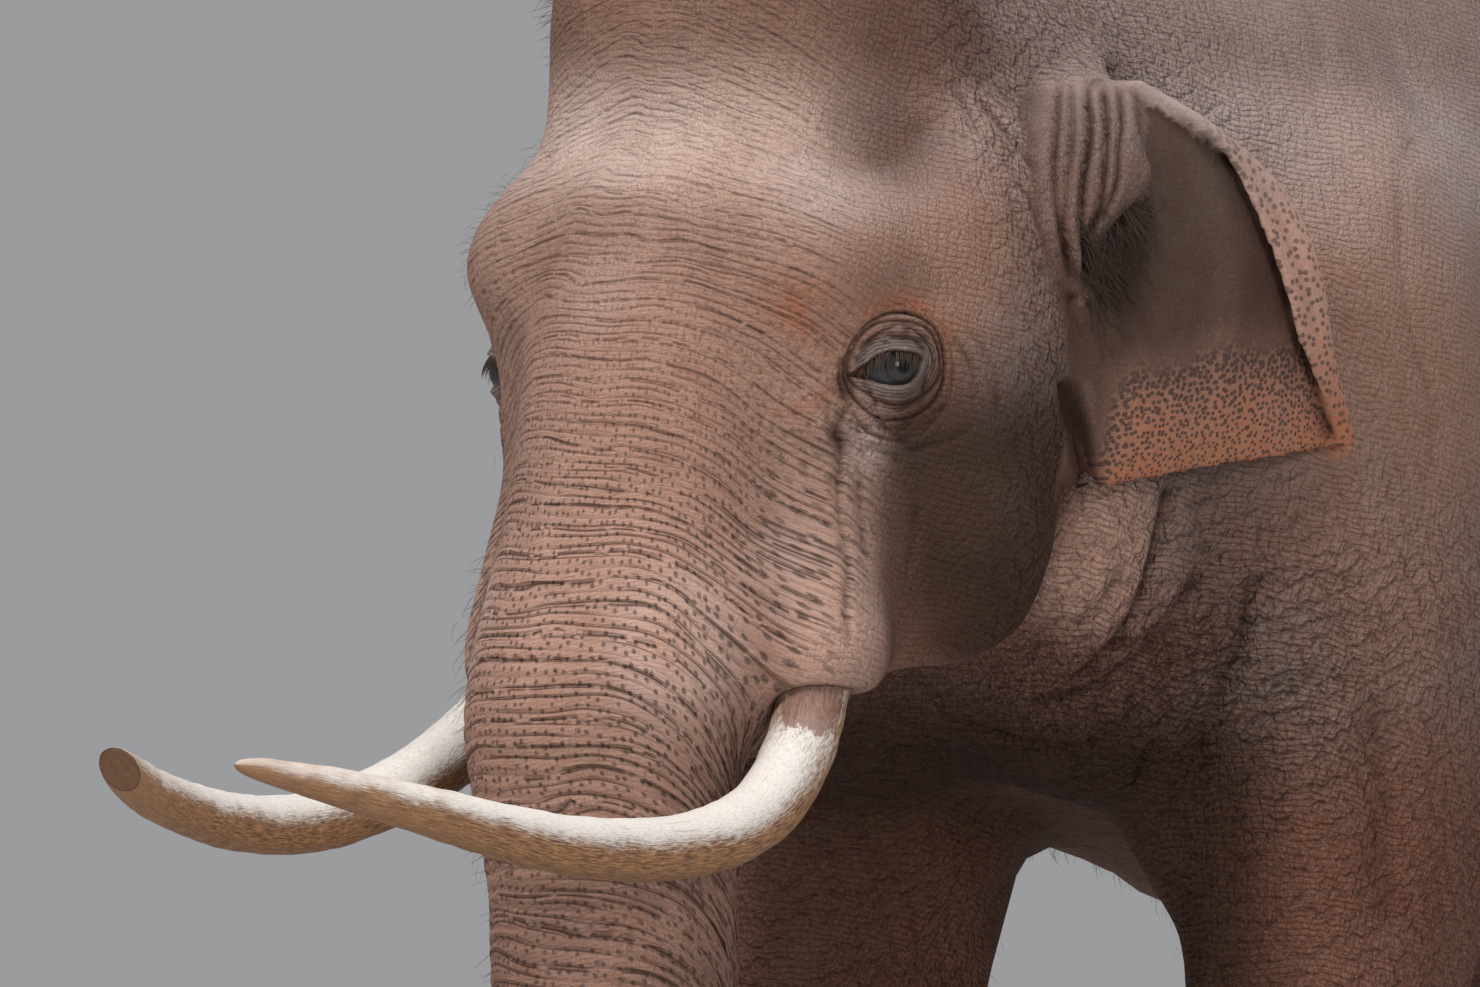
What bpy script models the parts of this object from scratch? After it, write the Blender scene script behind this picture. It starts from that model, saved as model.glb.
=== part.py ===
"""Adult Asian elephant bull, life size, standing square with its trunk hanging to the floor.

The bull faces -Y, its left side is at +X, and its soles stand on z = 0. The flesh is lofted and massed as
one body, fused, smoothed and pressed into shape, and then parted with thin cuts into head, jaw, neck, body,
lengths of trunk, legs and feet. Eyes, tusks, ears, toenails and tail are modelled apart and fitted to it.
While it is modelled, y = 0 is the plane of the eyes. The last step moves the origin below the middle.
"""

import math

import bmesh
import bpy
import numpy as np
from mathutils import Matrix, Vector

# Driving dimensions, in metres.
EYE_HEIGHT = 1.900
EYE_SIDE = 0.297
EYE_RADIUS = 0.034
EYE_Y = 0.030
FORELEG_SIDE = 0.385
FORELEG_Y = 0.93
HINDLEG_SIDE = 0.335
HINDLEG_Y = 2.78
TUSK_RADIUS = 0.047
MOUTH_HEIGHT = 1.462
LEG_TOP = 0.98
FOOT_TOP = 0.30
GAP = 0.0005  # between pieces that touch

# How finely the flesh is fused, smoothed and faceted.
VOXEL = 0.024
SMOOTH_PASSES = 12
FLESH_TRIANGLES = 3080
HEAD_FREEDOM = 0.76  # how freely facets grow on the head, where 1 is the open body
LIMB_FREEDOM = 0.85
RING_POINTS = 28

FORE_TOES = (-64, -33, 0, 33, 64)  # degrees round the foot from straight ahead
HIND_TOES = (-52, -18, 18, 52)
NAIL_HEIGHT = 0.048
NAIL_SUNK = 0.017

SKIN_BROWN = (0.30, 0.19, 0.15)
SKIN_EAR = (0.38, 0.24, 0.19)
IVORY = (0.80, 0.72, 0.58)
EYE_BROWN = (0.06, 0.03, 0.02)
NAIL_HORN = (0.42, 0.36, 0.29)

# Body masses along y: (y, top, bottom, half width, how pear-shaped the section is).
TORSO = (
    (0.50, 2.30, 1.47, 0.24, 0.00),
    (0.66, 2.46, 1.36, 0.41, 0.04),
    (0.95, 2.61, 1.31, 0.53, 0.10),
    (1.30, 2.69, 1.19, 0.61, 0.15),
    (1.75, 2.74, 1.05, 0.67, 0.18),
    (2.20, 2.73, 1.02, 0.68, 0.16),
    (2.60, 2.62, 1.11, 0.61, 0.10),
    (2.92, 2.44, 1.32, 0.50, 0.04),
    (3.12, 2.24, 1.55, 0.34, 0.00),
    (3.21, 2.08, 1.72, 0.18, 0.00),
)
NECK = (
    (0.10, 2.44, 1.66, 0.26, 0.00),
    (0.35, 2.49, 1.55, 0.34, 0.02),
    (0.60, 2.51, 1.41, 0.405, 0.06),
    (0.85, 2.57, 1.34, 0.47, 0.10),
    (1.10, 2.63, 1.32, 0.46, 0.06),
)
# The skull from crown to jaw: (height, front y, back y, half width).
SKULL = (
    (2.54, 0.06, 0.30, 0.12),
    (2.49, -0.03, 0.38, 0.20),
    (2.40, -0.08, 0.46, 0.250),
    (2.28, -0.105, 0.50, 0.272),
    (2.16, -0.115, 0.52, 0.290),
    (2.04, -0.140, 0.54, 0.322),
    (1.92, -0.150, 0.53, 0.334),
    (1.80, -0.130, 0.47, 0.330),
    (1.68, -0.090, 0.40, 0.315),
    (1.57, -0.060, 0.30, 0.285),
    (1.50, -0.030, 0.20, 0.220),
)
# Legs from sole to shoulder or hip: (height, step outward, step back, half width, half depth).
FORELEG = (
    (-0.06, 0.020, -0.010, 0.190, 0.205),
    (0.03, 0.020, -0.010, 0.205, 0.222),
    (0.13, 0.018, -0.008, 0.198, 0.212),
    (0.30, 0.010, 0.010, 0.160, 0.172),
    (0.52, 0.004, 0.015, 0.160, 0.170),
    (0.76, 0.000, -0.005, 0.172, 0.188),
    (1.00, 0.000, 0.015, 0.170, 0.215),
    (1.25, 0.000, 0.055, 0.182, 0.275),
    (1.60, 0.000, 0.070, 0.195, 0.330),
    (2.00, -0.040, 0.060, 0.180, 0.320),
    (2.38, -0.110, 0.060, 0.120, 0.220),
)
HINDLEG = (
    (-0.06, 0.010, 0.000, 0.165, 0.190),
    (0.03, 0.010, 0.000, 0.178, 0.205),
    (0.13, 0.010, 0.000, 0.172, 0.195),
    (0.30, 0.006, 0.030, 0.138, 0.152),
    (0.52, 0.004, 0.060, 0.140, 0.165),
    (0.78, 0.004, 0.030, 0.155, 0.190),
    (1.05, 0.004, -0.030, 0.185, 0.265),
    (1.38, -0.005, -0.050, 0.225, 0.350),
    (1.75, -0.030, -0.020, 0.240, 0.380),
    (2.08, -0.070, 0.020, 0.200, 0.320),
    (2.32, -0.120, 0.030, 0.120, 0.210),
)
# The lip-like sheath round a tusk's root, given as a leg is.
SHEATH = (
    (1.482, 0.230, -0.045, 0.078, 0.078),
    (1.500, 0.228, -0.042, 0.088, 0.088),
    (1.560, 0.216, -0.024, 0.098, 0.100),
    (1.660, 0.196, -0.002, 0.102, 0.104),
    (1.780, 0.172, 0.020, 0.098, 0.100),
    (1.860, 0.160, 0.040, 0.080, 0.080),
)
# The trunk from the forehead to its tip: (forward, height, half width, half depth).
TRUNK = (
    (0.020, 2.10, 0.170, 0.120),
    (0.050, 1.95, 0.185, 0.150),
    (0.075, 1.82, 0.180, 0.165),
    (0.105, 1.68, 0.178, 0.172),
    (0.150, 1.55, 0.180, 0.178),
    (0.188, 1.45, 0.178, 0.176),
    (0.172, 1.34, 0.168, 0.166),
    (0.155, 1.22, 0.163, 0.160),
    (0.158, 1.05, 0.158, 0.154),
    (0.165, 0.85, 0.142, 0.138),
    (0.175, 0.65, 0.124, 0.119),
    (0.190, 0.46, 0.106, 0.100),
    (0.215, 0.29, 0.088, 0.082),
    (0.262, 0.165, 0.072, 0.066),
    (0.335, 0.105, 0.062, 0.055),
    (0.415, 0.115, 0.056, 0.047),
)
# Tusks from inside the sheath to the tip: (side, forward, height, share of the full radius).
LEFT_TUSK = (
    (0.215, -0.010, 1.640, 0.90),
    (0.226, 0.020, 1.560, 0.98),
    (0.236, 0.056, 1.490, 1.00),
    (0.252, 0.115, 1.412, 1.00),
    (0.268, 0.220, 1.345, 0.97),
    (0.276, 0.370, 1.312, 0.90),
    (0.272, 0.540, 1.312, 0.84),
    (0.258, 0.690, 1.332, 0.78),
    (0.232, 0.830, 1.364, 0.68),
    (0.195, 0.960, 1.397, 0.54),
    (0.152, 1.055, 1.421, 0.36),
    (0.138, 1.083, 1.427, 0.24),
    (0.133, 1.092, 1.429, 0.10),
)
RIGHT_TUSK = (
    (0.215, -0.010, 1.640, 0.90),
    (0.226, 0.020, 1.560, 0.98),
    (0.236, 0.056, 1.490, 1.00),
    (0.250, 0.120, 1.430, 1.00),
    (0.264, 0.230, 1.372, 0.97),
    (0.270, 0.360, 1.338, 0.90),
    (0.266, 0.490, 1.326, 0.84),
    (0.252, 0.640, 1.340, 0.79),
    (0.226, 0.790, 1.374, 0.70),
    (0.194, 0.893, 1.407, 0.58),
    (0.178, 0.930, 1.420, 0.44),
    (0.171, 0.945, 1.425, 0.22),
)
# Tail from the rump to its tuft: (y, height, half width, half depth).
TAIL = (
    (3.02, 2.16, 0.070, 0.075),
    (3.16, 2.13, 0.068, 0.070),
    (3.25, 2.03, 0.058, 0.060),
    (3.29, 1.86, 0.048, 0.047),
    (3.30, 1.62, 0.038, 0.036),
    (3.30, 1.36, 0.030, 0.028),
    (3.31, 1.12, 0.025, 0.024),
    (3.32, 0.95, 0.034, 0.020),
    (3.33, 0.80, 0.044, 0.018),
    (3.335, 0.70, 0.030, 0.014),
)
# The left ear's root and its free margin, each from top to bottom: (side, y, height).
EAR_ROOT = (
    (0.372, 0.392, 2.280),
    (0.390, 0.345, 2.180),
    (0.396, 0.325, 2.050),
    (0.392, 0.315, 1.920),
    (0.384, 0.320, 1.810),
    (0.386, 0.325, 1.745),
)
EAR_RIM = (
    (0.420, 0.430, 2.276),
    (0.468, 0.532, 2.228),
    (0.508, 0.620, 2.146),
    (0.530, 0.655, 2.050),
    (0.538, 0.672, 1.930),
    (0.534, 0.718, 1.822),
)
EAR_BOW = 0.035  # how far the middle of the shell bows outward
EAR_ROLL = (0.012, 0.018, 0.022, 0.022, 0.018, 0.012)  # radius of the rolled margin
EAR_FLAP = (0.010, 0.022, 0.050, 0.056, 0.035, 0.010)  # width of the margin folded over past its roll
EAR_THICK_ROOT = 0.030
EAR_THICK_RIM = 0.014

# Pressed forms of the flesh, made on both sides: (centre, reach along x, y and z, outward step).
FACE_FORMS = {
    "crown furrow": ((0.000, 0.060, 2.540), (0.06, 0.26, 0.16), -0.030),
    "forehead hollow": ((0.080, -0.110, 2.225), (0.20, 0.12, 0.060), -0.012),
    "forehead boss": ((0.060, -0.150, 2.130), (0.15, 0.10, 0.060), 0.010),
    "temple hollow": ((0.285, 0.050, 2.190), (0.07, 0.11, 0.11), -0.030),
    "brow ridge": ((0.240, -0.100, 2.030), (0.08, 0.10, 0.07), 0.014),
    "eye socket": ((0.325, 0.020, 1.900), (0.06, 0.060, 0.048), -0.014),
    "inner eye hollow": ((0.262, -0.110, 1.880), (0.06, 0.06, 0.08), -0.004),
    "cheek bone": ((0.350, 0.180, 1.850), (0.08, 0.12, 0.08), 0.010),
    "cheek groove": ((0.310, 0.060, 1.640), (0.06, 0.035, 0.14), -0.022),
    "chin hollow": ((0.120, 0.220, 1.470), (0.12, 0.12, 0.06), -0.016),
}
BODY_FORMS = {
    "spine ridge": ((0.000, 1.900, 2.740), (0.09, 0.90, 0.10), 0.018),
    "shoulder blade": ((0.440, 0.900, 2.130), (0.16, 0.12, 0.30), 0.022),
    "behind shoulder": ((0.600, 1.330, 1.800), (0.16, 0.10, 0.45), -0.030),
    "upper arm": ((0.520, 0.930, 1.560), (0.16, 0.24, 0.20), 0.024),
    "elbow": ((0.400, 1.230, 1.240), (0.16, 0.09, 0.09), 0.022),
    "chest front": ((0.170, 0.560, 1.560), (0.16, 0.12, 0.16), 0.030),
    "throat hollow": ((0.000, 0.330, 1.530), (0.12, 0.14, 0.10), -0.020),
    "neck hollow": ((0.370, 0.560, 2.060), (0.10, 0.11, 0.26), -0.012),
    "flank hollow": ((0.560, 2.380, 1.900), (0.14, 0.16, 0.28), -0.034),
    "hip bone": ((0.380, 2.600, 2.360), (0.13, 0.18, 0.12), 0.020),
    "haunch": ((0.470, 2.850, 1.850), (0.14, 0.24, 0.34), 0.020),
    "flank skin": ((0.420, 2.480, 1.260), (0.14, 0.14, 0.16), 0.024),
    "tail hollow": ((0.120, 3.180, 1.950), (0.10, 0.10, 0.26), -0.022),
    "fore wrist": ((0.385, 0.760, 0.760), (0.13, 0.08, 0.10), 0.012),
    "hock": ((0.340, 3.020, 0.560), (0.11, 0.08, 0.10), 0.012),
    "knee": ((0.340, 2.540, 1.080), (0.14, 0.09, 0.12), 0.022),
}


def refined(stations, steps):
    """The stations with more between them, on a smooth curve through all of them."""
    points = np.array(stations, dtype=float)
    ends = np.vstack([2 * points[0] - points[1], points, 2 * points[-1] - points[-2]])
    rows = []
    for before, start, finish, after in zip(ends, ends[1:], ends[2:], ends[3:]):
        for step in range(steps):
            t = step / steps
            rows.append(
                0.5 * (
                    2 * start
                    + (finish - before) * t
                    + (2 * before - 5 * start + 4 * finish - after) * t**2
                    + (3 * start - before - 3 * finish + after) * t**3
                )
            )
    rows.append(points[-1])
    return rows


def new_object(name, mesh, home):
    thing = bpy.data.objects.new(name, mesh)
    home.objects.link(thing)
    return thing


def loft(name, rings, home):
    """A closed solid through rings of equally many points."""
    shape = bmesh.new()
    rows = [[shape.verts.new(point) for point in ring] for ring in rings]
    count = len(rows[0])
    for row, following in zip(rows, rows[1:]):
        for index in range(count):
            beside = (index + 1) % count
            shape.faces.new((row[index], row[beside], following[beside], following[index]))
    shape.faces.new(rows[0])
    shape.faces.new(rows[-1])
    bmesh.ops.recalc_face_normals(shape, faces=shape.faces)
    mesh = bpy.data.meshes.new(name)
    shape.to_mesh(mesh)
    shape.free()
    return new_object(name, mesh, home)


def rounded(angle, squareness):
    """Cosine and sine of an angle, swelled toward a square above a squareness of 2."""
    power = 2.0 / squareness
    across = math.copysign(abs(math.cos(angle)) ** power, math.cos(angle))
    along = math.copysign(abs(math.sin(angle)) ** power, math.sin(angle))
    return across, along


def ring_angles(count=RING_POINTS):
    return [2 * math.pi * index / count for index in range(count)]


def barrel(name, stations, home):
    """A mass along y with upright sections, wider below the middle where they are pear-shaped."""
    rings = []
    for y, top, bottom, half_width, pear in refined(stations, 3):
        middle = (top + bottom) / 2
        half_height = (top - bottom) / 2
        ring = []
        for angle in ring_angles():
            across, up = rounded(angle, 2.25)
            ring.append((half_width * across * (1 - pear * up), y, middle + half_height * up))
        rings.append(ring)
    return loft(name, rings, home)


def skull(home):
    rings = []
    for height, front, back, half_width in refined(SKULL, 2):
        middle = (front + back) / 2
        half_depth = (back - front) / 2
        ring = []
        for angle in ring_angles():
            across, along = rounded(angle, 2.5)
            ring.append((half_width * across, middle + half_depth * along, height))
        rings.append(ring)
    return loft("skull mass", rings, home)


def leg(name, stations, side, outset, y, home):
    rings = []
    for height, outward, back, half_width, half_depth in refined(stations, 2):
        ring = []
        for angle in ring_angles():
            across, along = rounded(angle, 2.1)
            x = side * (outset + outward) + half_width * across
            ring.append((x, y + back + half_depth * along, height))
        rings.append(ring)
    return loft(name, rings, home)


def tube(name, route, half_sizes, home, count=RING_POINTS, squareness=2.0):
    """A solid along a route, with (across, deep) half sizes; deep lies in the plane of x = constant."""
    rings = []
    for index, (point, (half_across, half_deep)) in enumerate(zip(route, half_sizes)):
        before = Vector(route[max(index - 1, 0)])
        after = Vector(route[min(index + 1, len(route) - 1)])
        forward = (after - before).normalized()
        across = Vector((1, 0, 0)) - forward * forward.x
        across.normalize()
        deep = forward.cross(across)
        ring = []
        for angle in ring_angles(count):
            right, up = rounded(angle, squareness)
            ring.append(Vector(point) + across * (half_across * right) + deep * (half_deep * up))
        rings.append(ring)
    return loft(name, rings, home)


def trunk(home):
    rows = refined(TRUNK, 3)
    route = [(0, -forward, height) for forward, height, _, _ in rows]
    return tube("trunk mass", route, [row[2:] for row in rows], home)


def tail(home):
    rows = refined(TAIL, 2)
    route = [(0, y, height) for y, height, _, _ in rows]
    return tube("tail", route, [row[2:] for row in rows], home, count=10)


def tusk(name, stations, side, home):
    route = [(side * out, -forward, height) for out, forward, height, _ in stations]
    sizes = [(TUSK_RADIUS * row[3], TUSK_RADIUS * row[3]) for row in stations]
    return tube(name, route, sizes, home, count=12)


def mass(name, centre, radii, home, turn_x=0.0, segments=24):
    """An ellipsoid of muscle or bone, turned about x by degrees."""
    shape = bmesh.new()
    bmesh.ops.create_uvsphere(shape, u_segments=segments, v_segments=segments * 2 // 3, radius=1.0)
    place = Matrix.Translation(centre) @ Matrix.Rotation(math.radians(turn_x), 4, "X")
    bmesh.ops.transform(shape, matrix=place @ Matrix.Diagonal((*radii, 1.0)), verts=shape.verts)
    mesh = bpy.data.meshes.new(name)
    shape.to_mesh(mesh)
    shape.free()
    return new_object(name, mesh, home)


def mirrored_masses(name, centre, radii, home, turn_x=0.0):
    x, y, z = centre
    return [mass(name, (side * x, y, z), radii, home, turn_x) for side in (-1, 1)]


def baked(thing):
    """Replaces an object's mesh with the one its modifiers make."""
    bpy.context.view_layer.update()
    mesh = bpy.data.meshes.new_from_object(thing.evaluated_get(bpy.context.evaluated_depsgraph_get()))
    thing.modifiers.clear()
    thing.data = mesh
    return thing


def joined(things, name, home):
    """One object that holds every piece; overlapping pieces still cross inside it."""
    shape = bmesh.new()
    for thing in things:
        shape.from_mesh(thing.data)
    mesh = bpy.data.meshes.new(name)
    shape.to_mesh(mesh)
    shape.free()
    for thing in things:
        bpy.data.objects.remove(thing)
    return new_object(name, mesh, home)


def fused(thing):
    """Fuses crossing solids into one skin and softens where they meet."""
    remesh = thing.modifiers.new("fuse", "REMESH")
    remesh.mode = "VOXEL"
    remesh.voxel_size = VOXEL
    soften = thing.modifiers.new("soften", "SMOOTH")
    soften.factor = 0.5
    soften.iterations = SMOOTH_PASSES
    return baked(thing)


def pressed(thing, forms):
    """Moves the surface outward, or inward where the step is negative, with a soft falloff."""
    mesh = thing.data
    count = len(mesh.vertices)
    spots = np.empty(count * 3)
    mesh.vertices.foreach_get("co", spots)
    spots = spots.reshape(-1, 3)
    normals = np.empty(count * 3)
    mesh.vertex_normals.foreach_get("vector", normals)
    normals = normals.reshape(-1, 3)
    for centre, reach, step in forms.values():
        for side in (-1, 1) if centre[0] else (1,):
            place = np.array((side * centre[0], centre[1], centre[2]))
            falloff = np.exp(-(((spots - place) / np.array(reach)) ** 2).sum(axis=1))
            spots = spots + normals * (step * falloff)[:, None]
    mesh.vertices.foreach_set("co", spots.ravel())
    mesh.update()
    return thing


def faceted(thing, triangles):
    """Fewer, larger facets, with the finest kept for the head."""
    thing.data.calc_loop_triangles()
    keep = thing.vertex_groups.new(name="how freely facets grow")
    for vertex in thing.data.vertices:
        x, y, z = vertex.co
        on_head = y < 0.50 and z > 1.38
        slender = y < 0.50 or z < 0.35
        freedom = HEAD_FREEDOM if on_head else LIMB_FREEDOM if slender else 1.0
        keep.add([vertex.index], freedom, "REPLACE")
    reduce = thing.modifiers.new("facets", "DECIMATE")
    reduce.ratio = triangles / len(thing.data.loop_triangles)
    reduce.use_collapse_triangulate = True
    reduce.vertex_group = keep.name
    reduce.vertex_group_factor = 1.0
    even = thing.modifiers.new("even sides", "MIRROR")
    even.use_axis[0] = True
    even.use_bisect_axis[0] = True
    even.merge_threshold = 0.0001
    baked(thing)
    thing.vertex_groups.clear()
    return thing


def flesh(home):
    pieces = [
        barrel("torso mass", TORSO, home),
        barrel("neck mass", NECK, home),
        skull(home),
        trunk(home),
        mass("lower lip mass", (0, 0.170, 1.480), (0.150, 0.140, 0.085), home, turn_x=12),
        mass("chin mass", (0, 0.100, 1.440), (0.060, 0.065, 0.060), home, turn_x=20),
    ]
    for side in (-1, 1):
        pieces.append(leg("foreleg mass", FORELEG, side, FORELEG_SIDE, FORELEG_Y, home))
        pieces.append(leg("hind leg mass", HINDLEG, side, HINDLEG_SIDE, HINDLEG_Y, home))
        pieces.append(leg("sheath mass", SHEATH, side, 0, 0, home))
    pieces += mirrored_masses("crown mass", (0.112, 0.140, 2.360), (0.140, 0.220, 0.175), home)
    pieces += mirrored_masses("brow mass", (0.168, 0.030, 2.040), (0.168, 0.170, 0.150), home)
    pieces += mirrored_masses("snout side mass", (0.120, -0.090, 1.560), (0.120, 0.120, 0.150), home)
    pieces += mirrored_masses("ear base mass", (0.235, 0.230, 1.940), (0.160, 0.245, 0.330), home)
    pieces += mirrored_masses("jaw angle mass", (0.250, 0.215, 1.700), (0.140, 0.175, 0.190), home)
    pieces += mirrored_masses("shoulder mass", (0.400, 0.960, 1.750), (0.185, 0.320, 0.560), home, -6)
    pieces += mirrored_masses("breast mass", (0.270, 0.930, 1.420), (0.180, 0.220, 0.300), home)
    pieces += mirrored_masses("chest mass", (0.160, 0.720, 1.600), (0.245, 0.255, 0.285), home)
    pieces += mirrored_masses("haunch mass", (0.340, 2.800, 1.830), (0.235, 0.400, 0.560), home, 6)
    body = fused(joined(pieces, "flesh", home))
    pressed(body, BODY_FORMS)
    pressed(body, FACE_FORMS)
    return faceted(body, FLESH_TRIANGLES)


def boolean_cut(thing, cutter):
    cut = thing.modifiers.new("cut", "BOOLEAN")
    cut.operation = "DIFFERENCE"
    cut.solver = "EXACT"
    cut.object = cutter
    return baked(thing)


def grown(thing, by, home):
    """A copy that is larger all round by a small step."""
    copy = new_object(thing.name + " grown", thing.data.copy(), home)
    swell = copy.modifiers.new("swell", "DISPLACE")
    swell.strength = by
    swell.mid_level = 0.0
    return baked(copy)


def half(thing, name, point, normal, home):
    """The closed part of a solid on the side that the normal points away from."""
    shape = bmesh.new()
    shape.from_mesh(thing.data)
    everything = shape.verts[:] + shape.edges[:] + shape.faces[:]
    bmesh.ops.bisect_plane(
        shape, geom=everything, plane_co=point, plane_no=normal, clear_outer=True, dist=1e-6
    )
    rim = [edge for edge in shape.edges if edge.is_boundary]
    bmesh.ops.holes_fill(shape, edges=rim, sides=0)
    bmesh.ops.triangulate(shape, faces=[face for face in shape.faces if len(face.verts) > 3])
    bmesh.ops.recalc_face_normals(shape, faces=shape.faces)
    mesh = bpy.data.meshes.new(name)
    shape.to_mesh(mesh)
    shape.free()
    return new_object(name, mesh, home)


def parted(thing, behind_name, ahead_name, point, normal, home):
    """Two solids either side of a plane, a gap apart; the second is the side the normal points to."""
    thing.name = "parting"
    step = Vector(normal).normalized() * (GAP / 2)
    behind = half(thing, behind_name, Vector(point) - step, Vector(normal), home)
    ahead = half(thing, ahead_name, Vector(point) + step, -Vector(normal), home)
    bpy.data.objects.remove(thing)
    return behind, ahead


def islands(thing, home):
    """The separate closed bodies of an object, each as its own object."""
    shape = bmesh.new()
    shape.from_mesh(thing.data)
    left = set(shape.verts)
    groups = []
    while left:
        reached = {left.pop()}
        edge_of_group = list(reached)
        while edge_of_group:
            vertex = edge_of_group.pop()
            for link in vertex.link_edges:
                other = link.other_vert(vertex)
                if other in left:
                    left.discard(other)
                    reached.add(other)
                    edge_of_group.append(other)
        groups.append({vertex.index for vertex in reached})
    shape.free()
    found = []
    for group in groups:
        piece = bmesh.new()
        piece.from_mesh(thing.data)
        bmesh.ops.delete(piece, geom=[v for v in piece.verts if v.index not in group], context="VERTS")
        mesh = bpy.data.meshes.new(thing.name)
        piece.to_mesh(mesh)
        piece.free()
        found.append(new_object(thing.name + " piece", mesh, home))
    bpy.data.objects.remove(thing)
    return found


def middle(thing):
    return sum((vertex.co for vertex in thing.data.vertices), Vector()) / len(thing.data.vertices)


def cut_into_parts(whole, home):
    """Parts the flesh into named solids with thin plane cuts."""
    limbs, upper = parted(whole, "limbs", "upper", (0, 0, LEG_TOP), (0, 0, 1), home)
    body, front = parted(upper, "body", "front", (0, 0.760, 2.00), (0, -1, 0.22), home)
    neck, head = parted(front, "neck", "skull and face", (0, 0.350, 2.00), (0, -1, -0.30), home)
    face, hanging = parted(head, "head", "hanging", (0, 0.0, MOUTH_HEIGHT), (0, -0.14, -1), home)
    parts = [body, neck, face]
    parts += parted(hanging, "lower_jaw", "trunk_upper", (0, 0.025, 0), (0, -1, 0), home)
    *legs, trunk_rest = sorted(islands(limbs, home), key=lambda piece: -middle(piece).y)
    centre, trunk_rest = parted(trunk_rest, "trunk_middle", "rest", (0, 0, 0.66), (0, 0, -1), home)
    parts += [centre, *parted(trunk_rest, "trunk_lower", "trunk_tip", (0, -0.2, 0.34), (0, -0.25, -1), home)]
    for piece in legs:
        end = "front" if middle(piece).y < (FORELEG_Y + HINDLEG_Y) / 2 else "hind"
        side = "left" if middle(piece).x > 0 else "right"
        standing = half(piece, "standing", (0, 0, 0), (0, 0, -1), home)
        bpy.data.objects.remove(piece)
        foot, shank = f"foot_{end}_{side}", f"leg_{end}_{side}"
        parts += parted(standing, foot, shank, (0, 0, FOOT_TOP), (0, 0, 1), home)
    return {part.name: part for part in parts}


def ear(side, home):
    """A thin shell from its root to its margin, which rolls forward and folds over the front."""
    roots = refined(EAR_ROOT, 2)
    rims = refined(EAR_RIM, 2)
    rolls = refined([(value,) for value in EAR_ROLL], 2)
    flaps = refined([(value,) for value in EAR_FLAP], 2)
    columns = 6
    turns = 4
    outward = np.array((1.0, -0.42, 0.0))
    outward /= np.linalg.norm(outward)
    shape = bmesh.new()
    thickness = []
    rows = []
    for index, (root, rim, (radius,), (flap,)) in enumerate(zip(roots, rims, rolls, flaps)):
        down = index / (len(roots) - 1)
        reach = (rim - root) / np.linalg.norm(rim - root)
        turning = rim - reach * radius
        row = []
        for column in range(columns):
            share = column / (columns - 1)
            bow = EAR_BOW * math.sin(math.pi * share) * math.sin(math.pi * (0.15 + 0.75 * down))
            row.append(root + (turning - root) * share + outward * bow)
            thickness.append(EAR_THICK_ROOT + (EAR_THICK_RIM - EAR_THICK_ROOT) * min(1, 1.6 * share))
        centre = turning + outward * radius
        for turn in range(1, turns + 1):
            angle = math.pi * turn / turns
            row.append(centre + radius * (reach * math.sin(angle) - outward * math.cos(angle)))
        row.append(row[-1] - reach * flap)
        thickness += [EAR_THICK_RIM] * (turns + 1)
        rows.append([shape.verts.new((side * point[0], point[1], point[2])) for point in row])
    for row, following in zip(rows, rows[1:]):
        for index in range(len(row) - 1):
            corners = (row[index], row[index + 1], following[index + 1], following[index])
            shape.faces.new(corners if side > 0 else corners[::-1])
    name = "ear_left" if side > 0 else "ear_right"
    mesh = bpy.data.meshes.new(name)
    shape.to_mesh(mesh)
    shape.free()
    thing = new_object(name, mesh, home)
    thick = thing.vertex_groups.new(name="thick")
    for index, width in enumerate(thickness):
        thick.add([index], width / EAR_THICK_ROOT, "REPLACE")
    shell = thing.modifiers.new("shell", "SOLIDIFY")
    shell.thickness = EAR_THICK_ROOT
    shell.offset = 0.0
    shell.use_even_offset = False
    shell.vertex_group = thick.name
    baked(thing)
    thing.vertex_groups.clear()
    return thing


def toenail(name, foot_centre, half_sizes, degrees, home):
    """A domed nail on the rim of a foot, standing just clear of the floor."""
    turn = math.radians(degrees)
    across, along = half_sizes
    size = 1.0 - 0.0022 * abs(degrees)
    spot = (
        foot_centre[0] + (across - NAIL_SUNK) * math.sin(turn),
        foot_centre[1] - (along - NAIL_SUNK) * math.cos(turn),
        NAIL_HEIGHT,
    )
    shape = bmesh.new()
    bmesh.ops.create_uvsphere(shape, u_segments=9, v_segments=6, radius=1.0)
    radii = Matrix.Diagonal((0.049 * size, 0.026, 0.044 * size, 1.0))
    place = Matrix.Translation(spot) @ Matrix.Rotation(turn, 4, "Z") @ Matrix.Rotation(-0.12, 4, "X")
    bmesh.ops.transform(shape, matrix=place @ radii, verts=shape.verts)
    mesh = bpy.data.meshes.new(name)
    shape.to_mesh(mesh)
    shape.free()
    return new_object(name, mesh, home)


def toenails(parts, home, cutters):
    nails = {}
    feet = (("front", FORELEG_SIDE, FORELEG_Y, FORELEG[1], FORE_TOES),
            ("hind", HINDLEG_SIDE, HINDLEG_Y, HINDLEG[1], HIND_TOES))
    for end, foot_side, foot_y, sole, toes in feet:
        for side, side_name in ((1, "left"), (-1, "right")):
            centre = (side * foot_side + side * sole[1], foot_y + sole[2])
            foot = parts[f"foot_{end}_{side_name}"]
            socket = grown(foot, GAP, cutters)
            for number, degrees in enumerate(toes, start=1):
                name = f"nail_{end}_{side_name}_{number}"
                nail = toenail(name, centre, sole[3:], side * degrees, home)
                nails[name] = boolean_cut(nail, socket)
            bpy.data.objects.remove(socket)
    return nails


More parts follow.
